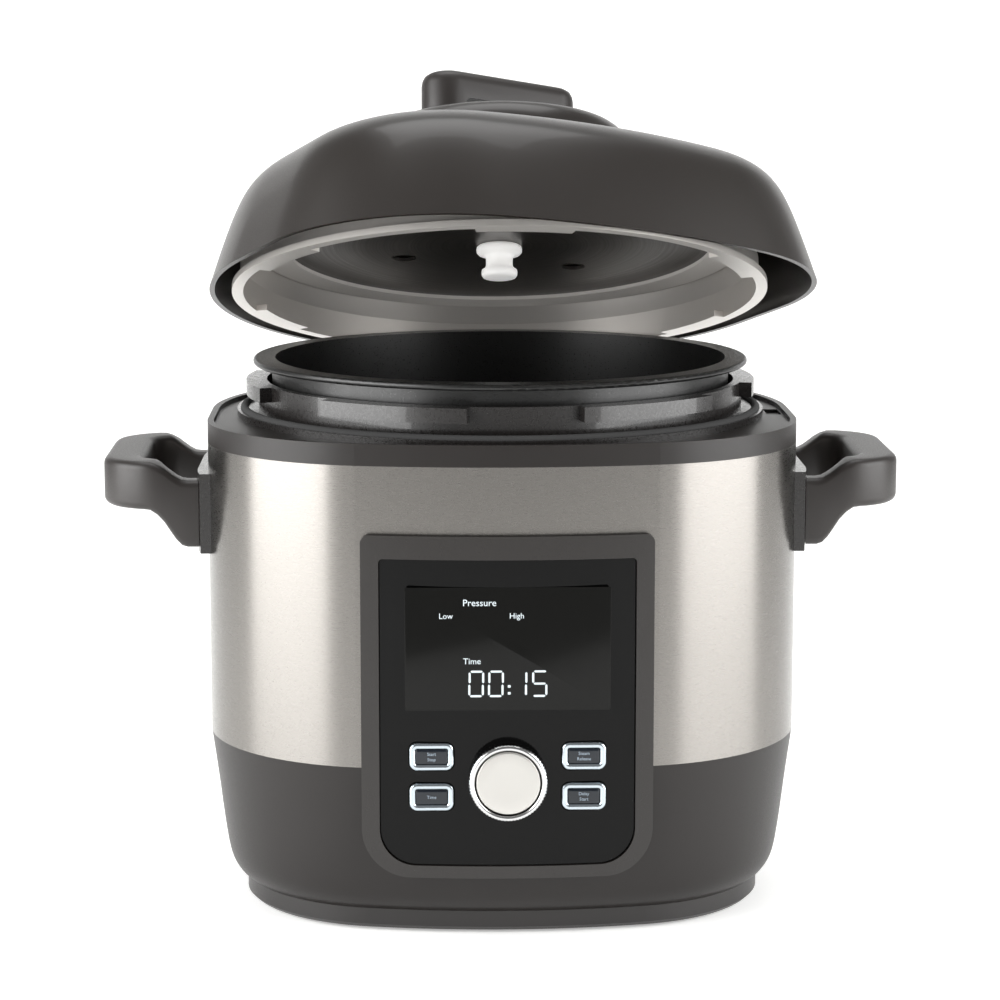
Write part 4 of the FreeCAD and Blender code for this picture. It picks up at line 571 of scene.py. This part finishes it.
def rounded_outline(width: float, height: float, corner: float,
                    steps: int = 6) -> list[tuple[float, float]]:
    """Draws a rounded rectangle about the origin, anticlockwise.

    Args:
        width: Its width.
        height: Its height.
        corner: Radius of its corners.
        steps: Steps in each corner.

    Returns:
        Its points.
    """
    points = []
    corners = ((1, 1, 0.0), (-1, 1, 90.0), (-1, -1, 180.0), (1, -1, 270.0))
    for sx, sy, start in corners:
        for i in range(steps + 1):
            turn = math.radians(start + 90.0 * i / steps)
            points.append((sx * (width / 2 - corner) + corner * math.cos(turn),
                           sy * (height / 2 - corner) + corner * math.sin(turn)))
    return points


def facing_ring(radius: float, y: float, count: int, x: float, z: float, notch: float = 0.0) -> Ring:
    """Returns a ring about an axis along Y; notch pulls in every second point."""
    turn = 2 * math.pi / count
    return [Vector((x + (radius - notch * (i % 2)) * math.cos(i * turn), y,
                    z + (radius - notch * (i % 2)) * math.sin(i * turn))) for i in range(count)]


def facing_box(width: float, height: float, corner: float, y: float, x: float, z: float) -> Ring:
    """Returns a rounded rectangle that faces the front, at a depth."""
    return [Vector((x + a, y, z + b)) for a, b in rounded_outline(width, height, corner)]


@dataclass
class BodyPlan:
    """The cooker's plan: a round back, straight sides, rounded front corners, and a bowed front."""

    half_width: float = 140.0
    front_depth: float = 134.0
    corner_r: float = 90.0
    front_r: float = 330.0
    back_steps: int = 96
    corner_steps: int = 36
    front_steps: int = 24
    side_steps: int = 4

    def outline(self) -> Outline:
        """Walks once round the plan.

        Returns:
            Points with their outward directions.
        """
        corner_x = self.half_width - self.corner_r
        front_y = self.front_r - self.front_depth
        corner_y = front_y - math.sqrt((self.front_r - self.corner_r) ** 2 - corner_x ** 2)
        join_turn = math.atan2(corner_y - front_y, corner_x)
        walk: Outline = []

        def arc(centre: Vector, radius: float, start: float, end: float, steps: int) -> None:
            """Adds an arc without its last point."""
            for i in range(steps):
                turn = start + (end - start) * i / steps
                way = Vector((math.cos(turn), math.sin(turn), 0.0))
                walk.append((centre + way * radius, way))

        def line(start: Vector, end: Vector, steps: int, way: Vector) -> None:
            """Adds a straight stretch without its last point."""
            for i in range(steps):
                walk.append((start.lerp(end, i / steps), way))

        right = Vector((1.0, 0.0, 0.0))
        arc(Vector((0.0, 0.0, 0.0)), self.half_width, 0.0, math.pi, self.back_steps)
        line(Vector((-self.half_width, 0.0, 0.0)), Vector((-self.half_width, corner_y, 0.0)),
             self.side_steps, -right)
        arc(Vector((-corner_x, corner_y, 0.0)), self.corner_r, math.pi, math.pi - join_turn,
            self.corner_steps)
        arc(Vector((0.0, front_y, 0.0)), self.front_r, -math.pi - join_turn, join_turn, self.front_steps)
        arc(Vector((corner_x, corner_y, 0.0)), self.corner_r, join_turn, 0.0, self.corner_steps)
        line(Vector((self.half_width, corner_y, 0.0)), Vector((self.half_width, 0.0, 0.0)),
             self.side_steps, right)
        return walk

    def ring(self, inset: float, z: float) -> Ring:
        """Returns the plan moved inwards by an inset, at a height."""
        return [Vector((p.x - way.x * inset, p.y - way.y * inset, z)) for p, way in self.outline()]


def smooth_steps(taper: Sequence[tuple[float, float]], count: int) -> list[tuple[float, float]]:
    """Draws a smooth curve through a taper's (share, inset) pairs.

    Args:
        taper: Pairs with a rising share.
        count: How many steps the curve gets between two pairs.

    Returns:
        More pairs on the curve.
    """
    points = [Vector((s, d)) for s, d in taper]
    ends = [points[0] * 2 - points[1]] + points + [points[-1] * 2 - points[-2]]
    curve = []
    for i in range(1, len(ends) - 2):
        for j in range(count):
            t = j / count
            a, b, c, d = ends[i - 1], ends[i], ends[i + 1], ends[i + 2]
            p = 0.5 * ((2 * b) + (c - a) * t + (2 * a - 5 * b + 4 * c - d) * t ** 2
                       + (3 * b - a - 3 * c + d) * t ** 3)
            curve.append((p.x, p.y))
    curve.append(tuple(points[-1]))
    return curve


@dataclass
class LidPlace:
    """Where the raised lid stands: turned to unlocked, then tipped back about a line behind it."""

    seat_z: float = 234.5
    turn: float = 28.0
    tilt: float = LID_TILT_DEGREES
    pivot_y: float = 156.0

    def matrix(self) -> Matrix:
        """Returns the move from the lid's own rim plane to its raised place."""
        lift = Matrix.Translation((0.0, 0.0, self.seat_z * MM))
        pivot = Matrix.Translation((0.0, self.pivot_y * MM, self.seat_z * MM))
        tip = Matrix.Rotation(math.radians(-self.tilt), 4, "X")
        return pivot @ tip @ pivot.inverted() @ lift @ Matrix.Rotation(math.radians(self.turn), 4, "Z")


# ---------------------------------------------------------------- body
@dataclass
class Housing:
    """Base housing, and the soft ring round the collar."""

    plan: BodyPlan = field(default_factory=BodyPlan)
    base_z: float = 11.0
    wrap_z: float = 82.0
    base_wall: float = 2.5
    base_taper: tuple = ((0.0, 16.5), (0.056, 12.0), (0.155, 8.5), (0.352, 6.0), (0.69, 3.0), (1.0, 0.0))
    panel_hole: tuple[float, float, float] = (122.0, 39.0, 186.0)
    panel_hole_r: float = 18.0
    panel_hole_y: tuple[float, float] = (-100.0, -160.0)
    inlet_hole: tuple[float, float, float] = (38.0, 30.0, 46.0)
    inlet_hole_depth: float = 60.0
    inlet_hole_y: float = 130.0
    rest_ring_r: float = 124.4
    rest_ring_tube: float = 2.0
    rest_ring_z: float = 232.1
    rest_ring_steps: int = 16
    round_steps: int = 160

    def panel_cutter(self) -> bpy.types.Object:
        """Returns the tool that opens the front for the control panel."""
        width, low, high = self.panel_hole
        rings = [facing_box(width, high - low, self.panel_hole_r, y, 0.0, (low + high) / 2)
                 for y in self.panel_hole_y]
        return lofted("panel_cutter", rings)

    def inlet_cutter(self) -> bpy.types.Object:
        """Returns the tool that opens the back for the mains inlet."""
        width, height, z = self.inlet_hole
        return slab("inlet_cutter", (width, self.inlet_hole_depth, height), (0.0, self.inlet_hole_y, z))

    def base(self) -> None:
        """Builds the moulded base with its swept lower edge."""
        span = self.wrap_z - self.base_z
        curve = smooth_steps(self.base_taper, 5)
        outside = [self.plan.ring(d, self.base_z + s * span) for s, d in curve]
        inside = [self.plan.ring(d + self.base_wall, self.base_z + s * span) for s, d in reversed(curve)]
        piece = lofted("base_shell", outside + inside, closed=True)
        cut(piece, self.panel_cutter(), self.inlet_cutter())
        dress(piece, HOUSING, "cooker", ["base_housing"])

    def rest_ring(self) -> None:
        """Builds the soft ring that the lid's skirt comes down on, round the collar."""
        turns = [i * 2 * math.pi / self.rest_ring_steps for i in range(self.rest_ring_steps)]
        profile = [(self.rest_ring_r + self.rest_ring_tube * math.cos(a),
                    self.rest_ring_z + self.rest_ring_tube * math.sin(a)) for a in turns]
        piece = turned("collar_rest_ring", profile, self.round_steps, closed=True)
        dress(piece, RUBBER, "cooker")

    def build(self) -> None:
        """Builds the housing's pieces."""
        self.base()
        self.rest_ring()


# ---------------------------------------------------------------- lid
@dataclass
class Lid:
    """The raised lid: outer shell, cap, top handle, and the white spool on its underside."""

    plan: BodyPlan = field(default_factory=BodyPlan)
    place: LidPlace = field(default_factory=LidPlace)
    skirt: float = 0.6
    top: float = 65.2
    wall: float = 2.5
    taper: tuple = ((0.0, -1.3), (0.3, 4.8), (0.545, 10.5), (0.71, 16.0), (0.82, 23.0), (0.9, 33.5),
                    (0.96, 47.5), (1.0, 66.0))
    cap_r: float = 66.0
    cap_top: float = 81.0
    handle_length: float = 82.0
    handle_width: float = 26.0
    handle_thick: float = 8.0
    handle_gap: float = 18.0
    post: float = 16.0
    finger_gap: float = 12.0
    plate_low: float = 24.1
    shoulder_r: float = 6.0
    grip_corner_play: float = 0.2
    cutter_round: float = 3.0
    cap_bore_r: float = 30.0
    round_steps: int = 160
    port_steps: int = 40
    ports: tuple = ((52.0, 216.0, 4.3), (56.0, 109.0, 4.9))     # radius, bearing, and radius of the bore

    def shell(self) -> None:
        """Builds the domed shell as one wall."""
        span = self.top - self.skirt
        curve = smooth_steps(self.taper, 4)
        outside = [self.plan.ring(d, self.skirt + s * span) for s, d in curve]
        inner_span = span - self.wall
        inside = [self.plan.ring(d + self.wall, self.skirt + s * inner_span) for s, d in curve]
        piece = lofted("lid_dome", list(reversed(inside)) + outside)
        moved(piece, self.place.matrix())
        dress(piece, LID_SHELL, "lid", ["lid_shell"], 40.0)

    def handle(self) -> None:
        """Builds the top handle: an oblong grip on two ends, open underneath for the fingers."""
        low, high = self.cap_top - 0.4, self.cap_top + self.handle_gap + self.handle_thick
        steps = ((0.0, low), (0.0, high - self.shoulder_r), (0.4, high - 3.6), (1.4, high - 1.6),
                 (3.2, high - 0.4), (self.shoulder_r, high))
        rings = []
        for d, z in steps:
            outline = rounded_outline(self.handle_length - 2 * d, self.handle_width - 2 * d,
                                      self.handle_width / 2 - d - self.grip_corner_play, 10)
            rings.append([Vector((x, y, z)) for x, y in outline])
        piece = lofted("lid_top_handle", rings)
        span = self.handle_length - 2 * self.post
        tool = slab("finger_cutter", (span, 2 * self.handle_width, 2 * self.finger_gap),
                    (0.0, 0.0, self.cap_top))
        soften(tool, self.cutter_round, 4)
        cut(piece, tool)
        moved(piece, self.place.matrix())
        dress(piece, HANDLE, "lid", ["lid_handle"], 45.0)

    def cap(self) -> None:
        """Builds the round cap with its rolled shoulder, bored for the valve and the float."""
        r, z = self.cap_r, self.cap_top
        wall = [(r, -0.5), (r, 2.0), (r - 0.5, 5.0), (r - 1.6, 8.5)]
        shoulder = [(r - 3.0, z - 4.6), (r - 4.6, z - 2.6), (r - 6.6, z - 1.1), (r - 9.5, z - 0.25),
                    (r - 14.0, z), (self.cap_bore_r, z)]
        profile = [(radius, self.top + up) for radius, up in wall] + shoulder
        piece = turned("lid_round_cap", profile, self.round_steps)
        for radius, bearing, bore in self.ports:
            ends = [(bore, self.top - 3.0), (bore, z + 3.0)]
            cut(piece, turned("port_cutter", ends, self.port_steps, polar(radius, bearing)))
        moved(piece, self.place.matrix())
        dress(piece, LID_SHELL, "lid", ["lid_cap"], 40.0)

    def spool(self) -> None:
        """Builds the white pull knob of the inner lid: two flanges and a waist."""
        upper_flange = [(3.0, 0.0), (10.2, 0.0), (11.0, -0.7), (11.2, -1.7), (11.1, -3.1), (10.2, -4.1)]
        waist = [(8.0, -4.5), (7.0, -5.1), (6.6, -6.2), (6.5, -8.0), (6.6, -9.8), (7.0, -10.8)]
        lower_flange = [(7.8, -11.5), (8.6, -12.0), (8.8, -13.0), (8.7, -14.6), (8.0, -15.6), (6.6, -16.0),
                        (2.5, -15.8)]
        profile = [(r, self.plate_low + h) for r, h in upper_flange + waist + lower_flange]
        piece = turned("spool_knob", profile, 64)
        moved(piece, self.place.matrix())
        dress(piece, SPOOL, "inner_lid", ["silicone_knob"], 60.0)

    def build(self) -> None:
        """Builds the lid's pieces."""
        self.shell()
        self.cap()
        self.handle()
        self.spool()


# ---------------------------------------------------------------- control panel
@dataclass
class SevenSegment:
    """One digit of the display, made of straight segments with pointed ends."""

    width: float = 6.1
    height: float = 11.3
    stroke: float = 0.95
    gap: float = 0.3
    lean: float = 0.03

    half_ink: float = 0.03

    LIT = {"0": "abcdef", "1": "bc", "5": "acdfg"}

    def segment(self, length: float) -> bpy.types.Object:
        """Models one level segment, centred at the origin.

        Args:
            length: Distance from one digit corner to the next, in millimetres.

        Returns:
            The segment.
        """
        half, tip = length / 2 - self.gap, self.stroke / 2
        flat = [(half, 0), (half - tip, tip), (tip - half, tip), (-half, 0), (tip - half, -tip),
                (half - tip, -tip)]
        rings = [[Vector((a, y, b)) for a, b in flat] for y in (self.half_ink, -self.half_ink)]
        return lofted("segment", rings)

    def places(self) -> dict[str, tuple[float, float, bool]]:
        """Returns where each lettered segment sits, and whether it stands upright."""
        half_w, half_h = self.width / 2, self.height / 2
        return {"a": (0, half_h, False), "b": (half_w, half_h / 2, True), "c": (half_w, -half_h / 2, True),
                "d": (0, -half_h, False), "e": (-half_w, -half_h / 2, True), "f": (-half_w, half_h / 2, True),
                "g": (0, 0, False)}

    def digit(self, value: str, at: tuple[float, float, float]) -> list[bpy.types.Object]:
        """Builds one digit's lit segments.

        Args:
            value: The digit.
            at: Its middle, in millimetres.

        Returns:
            The segments.
        """
        level, upright = self.segment(self.width), self.segment(self.height / 2)
        moved(upright, Matrix.Rotation(math.pi / 2, 4, "Y"))
        made = []
        for letter in self.LIT[value]:
            x, z, stands = self.places()[letter]
            twin = copy_of(upright if stands else level, f"digit_{value}_{letter}")
            shift = (at[0] + x + self.lean * z, at[1], at[2] + z)
            made.append(moved(twin, Matrix.Translation([c * MM for c in shift])))
        for pattern in (level, upright):
            bpy.data.objects.remove(pattern, do_unlink=True)
        return made


@dataclass
class Panel:
    """Control panel: display, lettering, keys and the dial."""

    window: tuple[float, float, float] = (93.0, 56.5, 138.5)
    key_size: tuple[float, float, float] = (20.2, 12.8, 3.6)
    key_band: float = 2.9
    dial_r: float = 18.1
    dial_band: float = 2.9
    face_gap: float = 0.6
    ridges: int = 72
    ink_gap: float = 0.12
    display_words: tuple = (("Pressure", 3.0, -12.8, 159.6), ("Low", 2.5, -28.0, 153.6),
                            ("High", 2.5, 4.0, 153.6), ("Time", 2.7, -16.2, 132.8))
    display_digits: tuple = (("0", -14.3), ("0", -5.4), ("1", 5.2), ("5", 14.4))
    digits_z: float = 122.5
    colon_x: float = 0.6
    colon_dots: tuple[float, float] = (-4.4, -1.2)
    key_letter: float = 1.45
    key_line: float = 2.5
    key_words: dict = field(default_factory=lambda: {
        "upper_left": ("Start", "Stop"), "lower_left": ("Time",),
        "upper_right": ("Steam", "Release"), "lower_right": ("Delay", "Start")})

    def display(self) -> None:
        """Builds the dark window and what it shows."""
        width, height, z = self.window
        _, low, _ = middle_of("panel_lens")
        steps = ((0, 0.3), (0, -0.04), (0.2, -0.08))
        rings = [facing_box(width - d, height - d, 0.8, low.y + dy, 0.0, z) for d, dy in steps]
        dress(lofted("display_window", rings), GLASS, "cooker")
        ink = low.y - self.ink_gap
        marks = [words("mark", text, tall, (x, ink, up)) for text, tall, x, up in self.display_words]
        digits = SevenSegment()
        for value, x in self.display_digits:
            marks += digits.digit(value, (x, ink, self.digits_z))
        for dz in self.colon_dots:
            rings = [facing_box(1.3, 1.2, 0.3, ink + dy, self.colon_x, self.digits_z + dz)
                     for dy in (digits.half_ink, -digits.half_ink)]
            marks.append(lofted("colon", rings))
        dress(join(*marks), LIT_INK, "cooker").name = "display_marks"

    def key(self, corner: str) -> None:
        """Builds one key: its plated ring, its cap and the words on it.

        Args:
            corner: Which key, such as upper_left.
        """
        width, height, corner_r = self.key_size
        centre, low, high = middle_of("key_trim_" + corner)
        band, x, z = self.key_band, centre.x, centre.z
        steps = ((0.0, high.y), (0.0, low.y + 0.9), (0.25, low.y + 0.35), (0.8, low.y + 0.05), (1.5, low.y),
                 (band - 0.9, low.y + 0.12), (band - 0.35, low.y + 0.45), (band, low.y + 0.95),
                 (band, high.y))
        rings = [facing_box(width - 2 * d, height - 2 * d, max(corner_r - d, 0.6), y, x, z) for d, y in steps]
        dress(lofted("key_ring_" + corner, rings, closed=True), KEY_RING, "cooker",
              ["key_trim_" + corner], 50.0)
        _, low, high = middle_of("key_cap_" + corner)
        width, height = high.x - low.x, high.z - low.z
        steps = ((0.0, high.y), (0.0, low.y + 0.7), (0.12, low.y + 0.3), (0.45, low.y + 0.1),
                 (1.1, low.y + 0.02), (2.4, low.y))
        rings = [facing_box(width - 2 * d, height - 2 * d, 0.7, y, x, z) for d, y in steps]
        body = "key_" + corner
        dress(lofted("key_face_" + corner, rings), KEY_FACE, body, ["key_cap_" + corner], 50.0)
        lines = self.key_words[corner]
        marks = [words("mark", line, self.key_letter,
                       (x, low.y - 0.03, z + self.key_line * ((len(lines) - 1) / 2 - i)))
                 for i, line in enumerate(lines)]
        dress(join(*marks), LABEL_INK, body).name = "key_words_" + corner

    def dial(self) -> None:
        """Builds the knurled rim and the push face of the dial."""
        centre, low, high = middle_of("dial_ring")
        r, z = self.dial_r, centre.z
        inner, count = r - self.dial_band, 2 * self.ridges
        steps = ((r - 0.5, high.y, 0.0), (r - 0.1, high.y - 0.3, 0.3), (r, low.y + 1.5, 0.5),
                 (r - 0.25, low.y + 0.8, 0.5), (r - 0.7, low.y + 0.35, 0.35), (r - 1.2, low.y + 0.1, 0.0),
                 (r - 1.8, low.y, 0.0), (inner + 0.5, low.y + 0.1, 0.0), (inner + 0.1, low.y + 0.45, 0.0),
                 (inner, low.y + 1.0, 0.0), (inner, high.y, 0.0))
        rings = [facing_ring(radius, y, count, 0.0, z, notch) for radius, y, notch in steps]
        dress(lofted("dial_rim", rings, closed=True), CHROME, "dial", ["dial_ring"], 60.0)
        _, low, high = middle_of("dial_face")
        face = inner - self.face_gap
        steps = ((face, high.y), (face, low.y + 0.7), (face - 0.12, low.y + 0.3), (face - 0.45, low.y + 0.06),
                 (face - 1.0, low.y), (face * 0.6, low.y + 0.12), (face * 0.25, low.y + 0.18),
                 (0.4, low.y + 0.2))
        rings = [facing_ring(radius, y, 96, 0.0, z) for radius, y in steps]
        dress(lofted("dial_push_face", rings), DIAL_FACE, "dial_button", ["dial_face"], 40.0)

    def build(self) -> None:
        """Builds the panel's pieces."""
        self.display()
        for corner in self.key_words:
            self.key(corner)
        self.dial()


# ---------------------------------------------------------------- side handles
@dataclass
class SideHandle:
    """One side handle: a rail runs out, steps up into the grip, and comes back."""

    side: int
    name: str
    reach: float = 190.8
    half_length: float = 53.8
    grip_width: float = 19.0
    rail_width: float = 14.0
    bend_r: float = 21.0
    root_x: float = 128.0
    root_low: float = 171.0
    root_high: float = 203.0
    grip_low: float = 189.0
    grip_high: float = 212.0
    step_start: float = 150.0
    step_end: float = 167.0
    edge_r: float = 3.6
    plate_gap: float = 5.2
    steps: int = 12

    def path(self) -> list[tuple[Vector, Vector]]:
        """Walks the middle line of the loop in plan.

        Returns:
            Places and headings, from the rear root to the front root.
        """
        grip_x = self.reach - self.grip_width / 2
        rail_y = self.half_length - self.rail_width / 2
        turn_x = grip_x - self.bend_r
        walk = []
        for i in range(self.steps):
            out = self.root_x + (turn_x - self.root_x) * i / self.steps
            walk.append((Vector((out, rail_y, 0)), Vector((1, 0, 0))))
        for i in range(self.steps):
            a = math.pi / 2 * i / self.steps
            place = Vector((turn_x + self.bend_r * math.sin(a), rail_y - self.bend_r * (1 - math.cos(a)), 0))
            walk.append((place, Vector((math.cos(a), -math.sin(a), 0))))
        walk += [(Vector((grip_x, (rail_y - self.bend_r) * (1 - i / 3), 0)), Vector((0, -1, 0)))
                 for i in range(3)]
        back = [(Vector((p.x, -p.y, 0)), Vector((-h.x, h.y, 0))) for p, h in reversed(walk)]
        return walk + [(Vector((grip_x, 0.0, 0)), Vector((0, -1, 0)))] + back

    def section(self, place: Vector, heading: Vector) -> Ring:
        """Draws the rounded section at one place of the path.

        Args:
            place: Place on the path.
            heading: Way that the path runs there.

        Returns:
            The section's ring.
        """
        share = min(1.0, max(0.0, (place.x - self.step_start) / (self.step_end - self.step_start)))
        share = share * share * (3 - 2 * share)
        low = self.root_low + (self.grip_low - self.root_low) * share
        high = self.root_high + (self.grip_high - self.root_high) * share
        bend = abs(heading.y)
        width = self.rail_width + (self.grip_width - self.rail_width) * bend
        across = Vector((-heading.y, heading.x, 0))
        middle = (low + high) / 2
        ring = [place + across * a + Vector((0, 0, middle + b))
                for a, b in rounded_outline(width, high - low, self.edge_r, 5)]
        return [Vector((self.side * p.x, p.y, p.z)) for p in ring]

    def build(self) -> None:
        """Builds the handle and seats it against its plate."""
        rings = [self.section(place, heading) for place, heading in self.path()]
        piece = lofted(self.name, rings)
        plan = BodyPlan()
        inner = [plan.ring(-self.plate_gap, z) for z in (160.0, 220.0)]
        cut(piece, lofted("body_cutter", inner))
        dress(piece, HANDLE, "cooker", [self.name.replace("grip_", "") + "_handle"], 45.0)


# ---------------------------------------------------------------- frame nodes, stage, camera
def dress_nodes() -> None:
    """Gives every node of the frame the finish of its slot."""
    for name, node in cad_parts.items():
        for held in node.material_slots:
            word = held.material.name.split(".")[0] if held.material else ""
            finish = NODE_FINISH.get(name) or SLOT_FINISH.get(word)
            if finish:
                held.material = finish.make()
            else:
                LOG.warning("no finish for %s (%s)", name, word)
    LOG.info("%d nodes of the frame dressed", len(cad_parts))


@dataclass
class Studio:
    """Pale floor with a curved back, soft lights, and the camera."""

    camera_at: tuple[float, float, float] = (-0.0393, -1.4995, 0.4269)
    pitch: float = 9.17
    yaw: float = -1.5
    lens: float = 111.3
    floor_half: float = 1.6
    back_y: float = 1.5
    back_top: float = 2.2
    bend_r: float = 0.6
    bend_steps: int = 16
    aim: tuple[float, float, float] = (0.0, 0.0, 0.2)
    air: str = "#ececec"
    air_strength: float = 0.3
    boxes: tuple = (("left_box", (-1.35, -0.55, 0.5), (1.5, 1.3), 42.0),
                    ("right_box", (1.35, -0.55, 0.5), (1.5, 1.3), 34.0),
                    ("top_box", (0.0, 0.25, 1.7), (1.4, 0.9), 13.0))      # name, place, size, watts

    def floor(self) -> None:
        """Lays the floor, and sweeps it up behind the object."""
        clear_selection()
        bpy.ops.mesh.primitive_plane_add(size=2.0)
        sheet = bpy.context.object
        sheet.name = "studio_floor"
        moved(sheet, Matrix.Diagonal((self.floor_half, self.floor_half, 1.0, 1.0)))
        pick(sheet)
        bpy.ops.object.mode_set(mode="EDIT")
        mesh = bmesh.from_edit_mesh(sheet.data)
        for edge in mesh.edges:
            edge.select = all(v.co.y > 0 for v in edge.verts)
        mesh.select_flush_mode()
        bmesh.update_edit_mesh(sheet.data)
        for i in range(self.bend_steps):
            a0 = math.pi / 2 * i / self.bend_steps
            a1 = math.pi / 2 * (i + 1) / self.bend_steps
            step = (0.0, self.bend_r * (math.sin(a1) - math.sin(a0)),
                    self.bend_r * (math.cos(a0) - math.cos(a1)))
            bpy.ops.mesh.extrude_region_move(TRANSFORM_OT_translate={"value": step})
        bpy.ops.mesh.extrude_region_move(TRANSFORM_OT_translate={"value": (0.0, 0.0, self.back_top)})
        bpy.ops.object.mode_set(mode="OBJECT")
        bpy.ops.object.shade_smooth()
        sheet.data.materials.append(FLOOR.make())

    def light(self, name: str, at: tuple[float, float, float], size: tuple[float, float],
              power: float) -> None:
        """Hangs one soft box that looks at the object.

        Args:
            name: Name of the light.
            at: Its place, in metres.
            size: Its width and height, in metres.
            power: Its power, in watts.
        """
        clear_selection()
        bpy.ops.object.light_add(type="AREA", location=at)
        lamp = bpy.context.object
        lamp.name = name
        lamp.data.shape = "RECTANGLE"
        lamp.data.size, lamp.data.size_y = size
        lamp.data.energy = power
        way = Vector(self.aim) - Vector(at)
        lamp.rotation_euler = way.to_track_quat("-Z", "Y").to_euler()

    def build(self) -> None:
        """Sets floor, lights, world and camera."""
        self.floor()
        for box in self.boxes:
            self.light(*box)
        world = bpy.data.worlds.new("studio_air")
        bpy.context.scene.world = world
        world.use_nodes = True
        back = world.node_tree.nodes["Background"]
        back.inputs[0].default_value = linear(self.air)
        back.inputs[1].default_value = self.air_strength
        data = bpy.data.cameras.new("studio_camera")
        data.lens = self.lens
        data.sensor_width = 36.0
        data.clip_end = 50.0
        data.dof.use_dof = False
        camera = bpy.data.objects.new("studio_camera", data)
        bpy.context.scene.collection.objects.link(camera)
        camera.location = self.camera_at
        camera.rotation_euler = (math.radians(90.0 - self.pitch), 0.0, math.radians(self.yaw))
        bpy.context.scene.camera = camera
        bpy.context.scene.view_settings.view_transform = "Standard"


def main() -> None:
    """Builds the cooker piece by piece."""
    logging.basicConfig(level=logging.INFO, format="%(name)s %(message)s")
    Studio().build()
    dress_nodes()
    for assembly in (Housing(), Panel(), SideHandle(-1, "grip_left"), SideHandle(1, "grip_right"), Lid()):
        assembly.build()


if __name__ == "__main__":
    main()
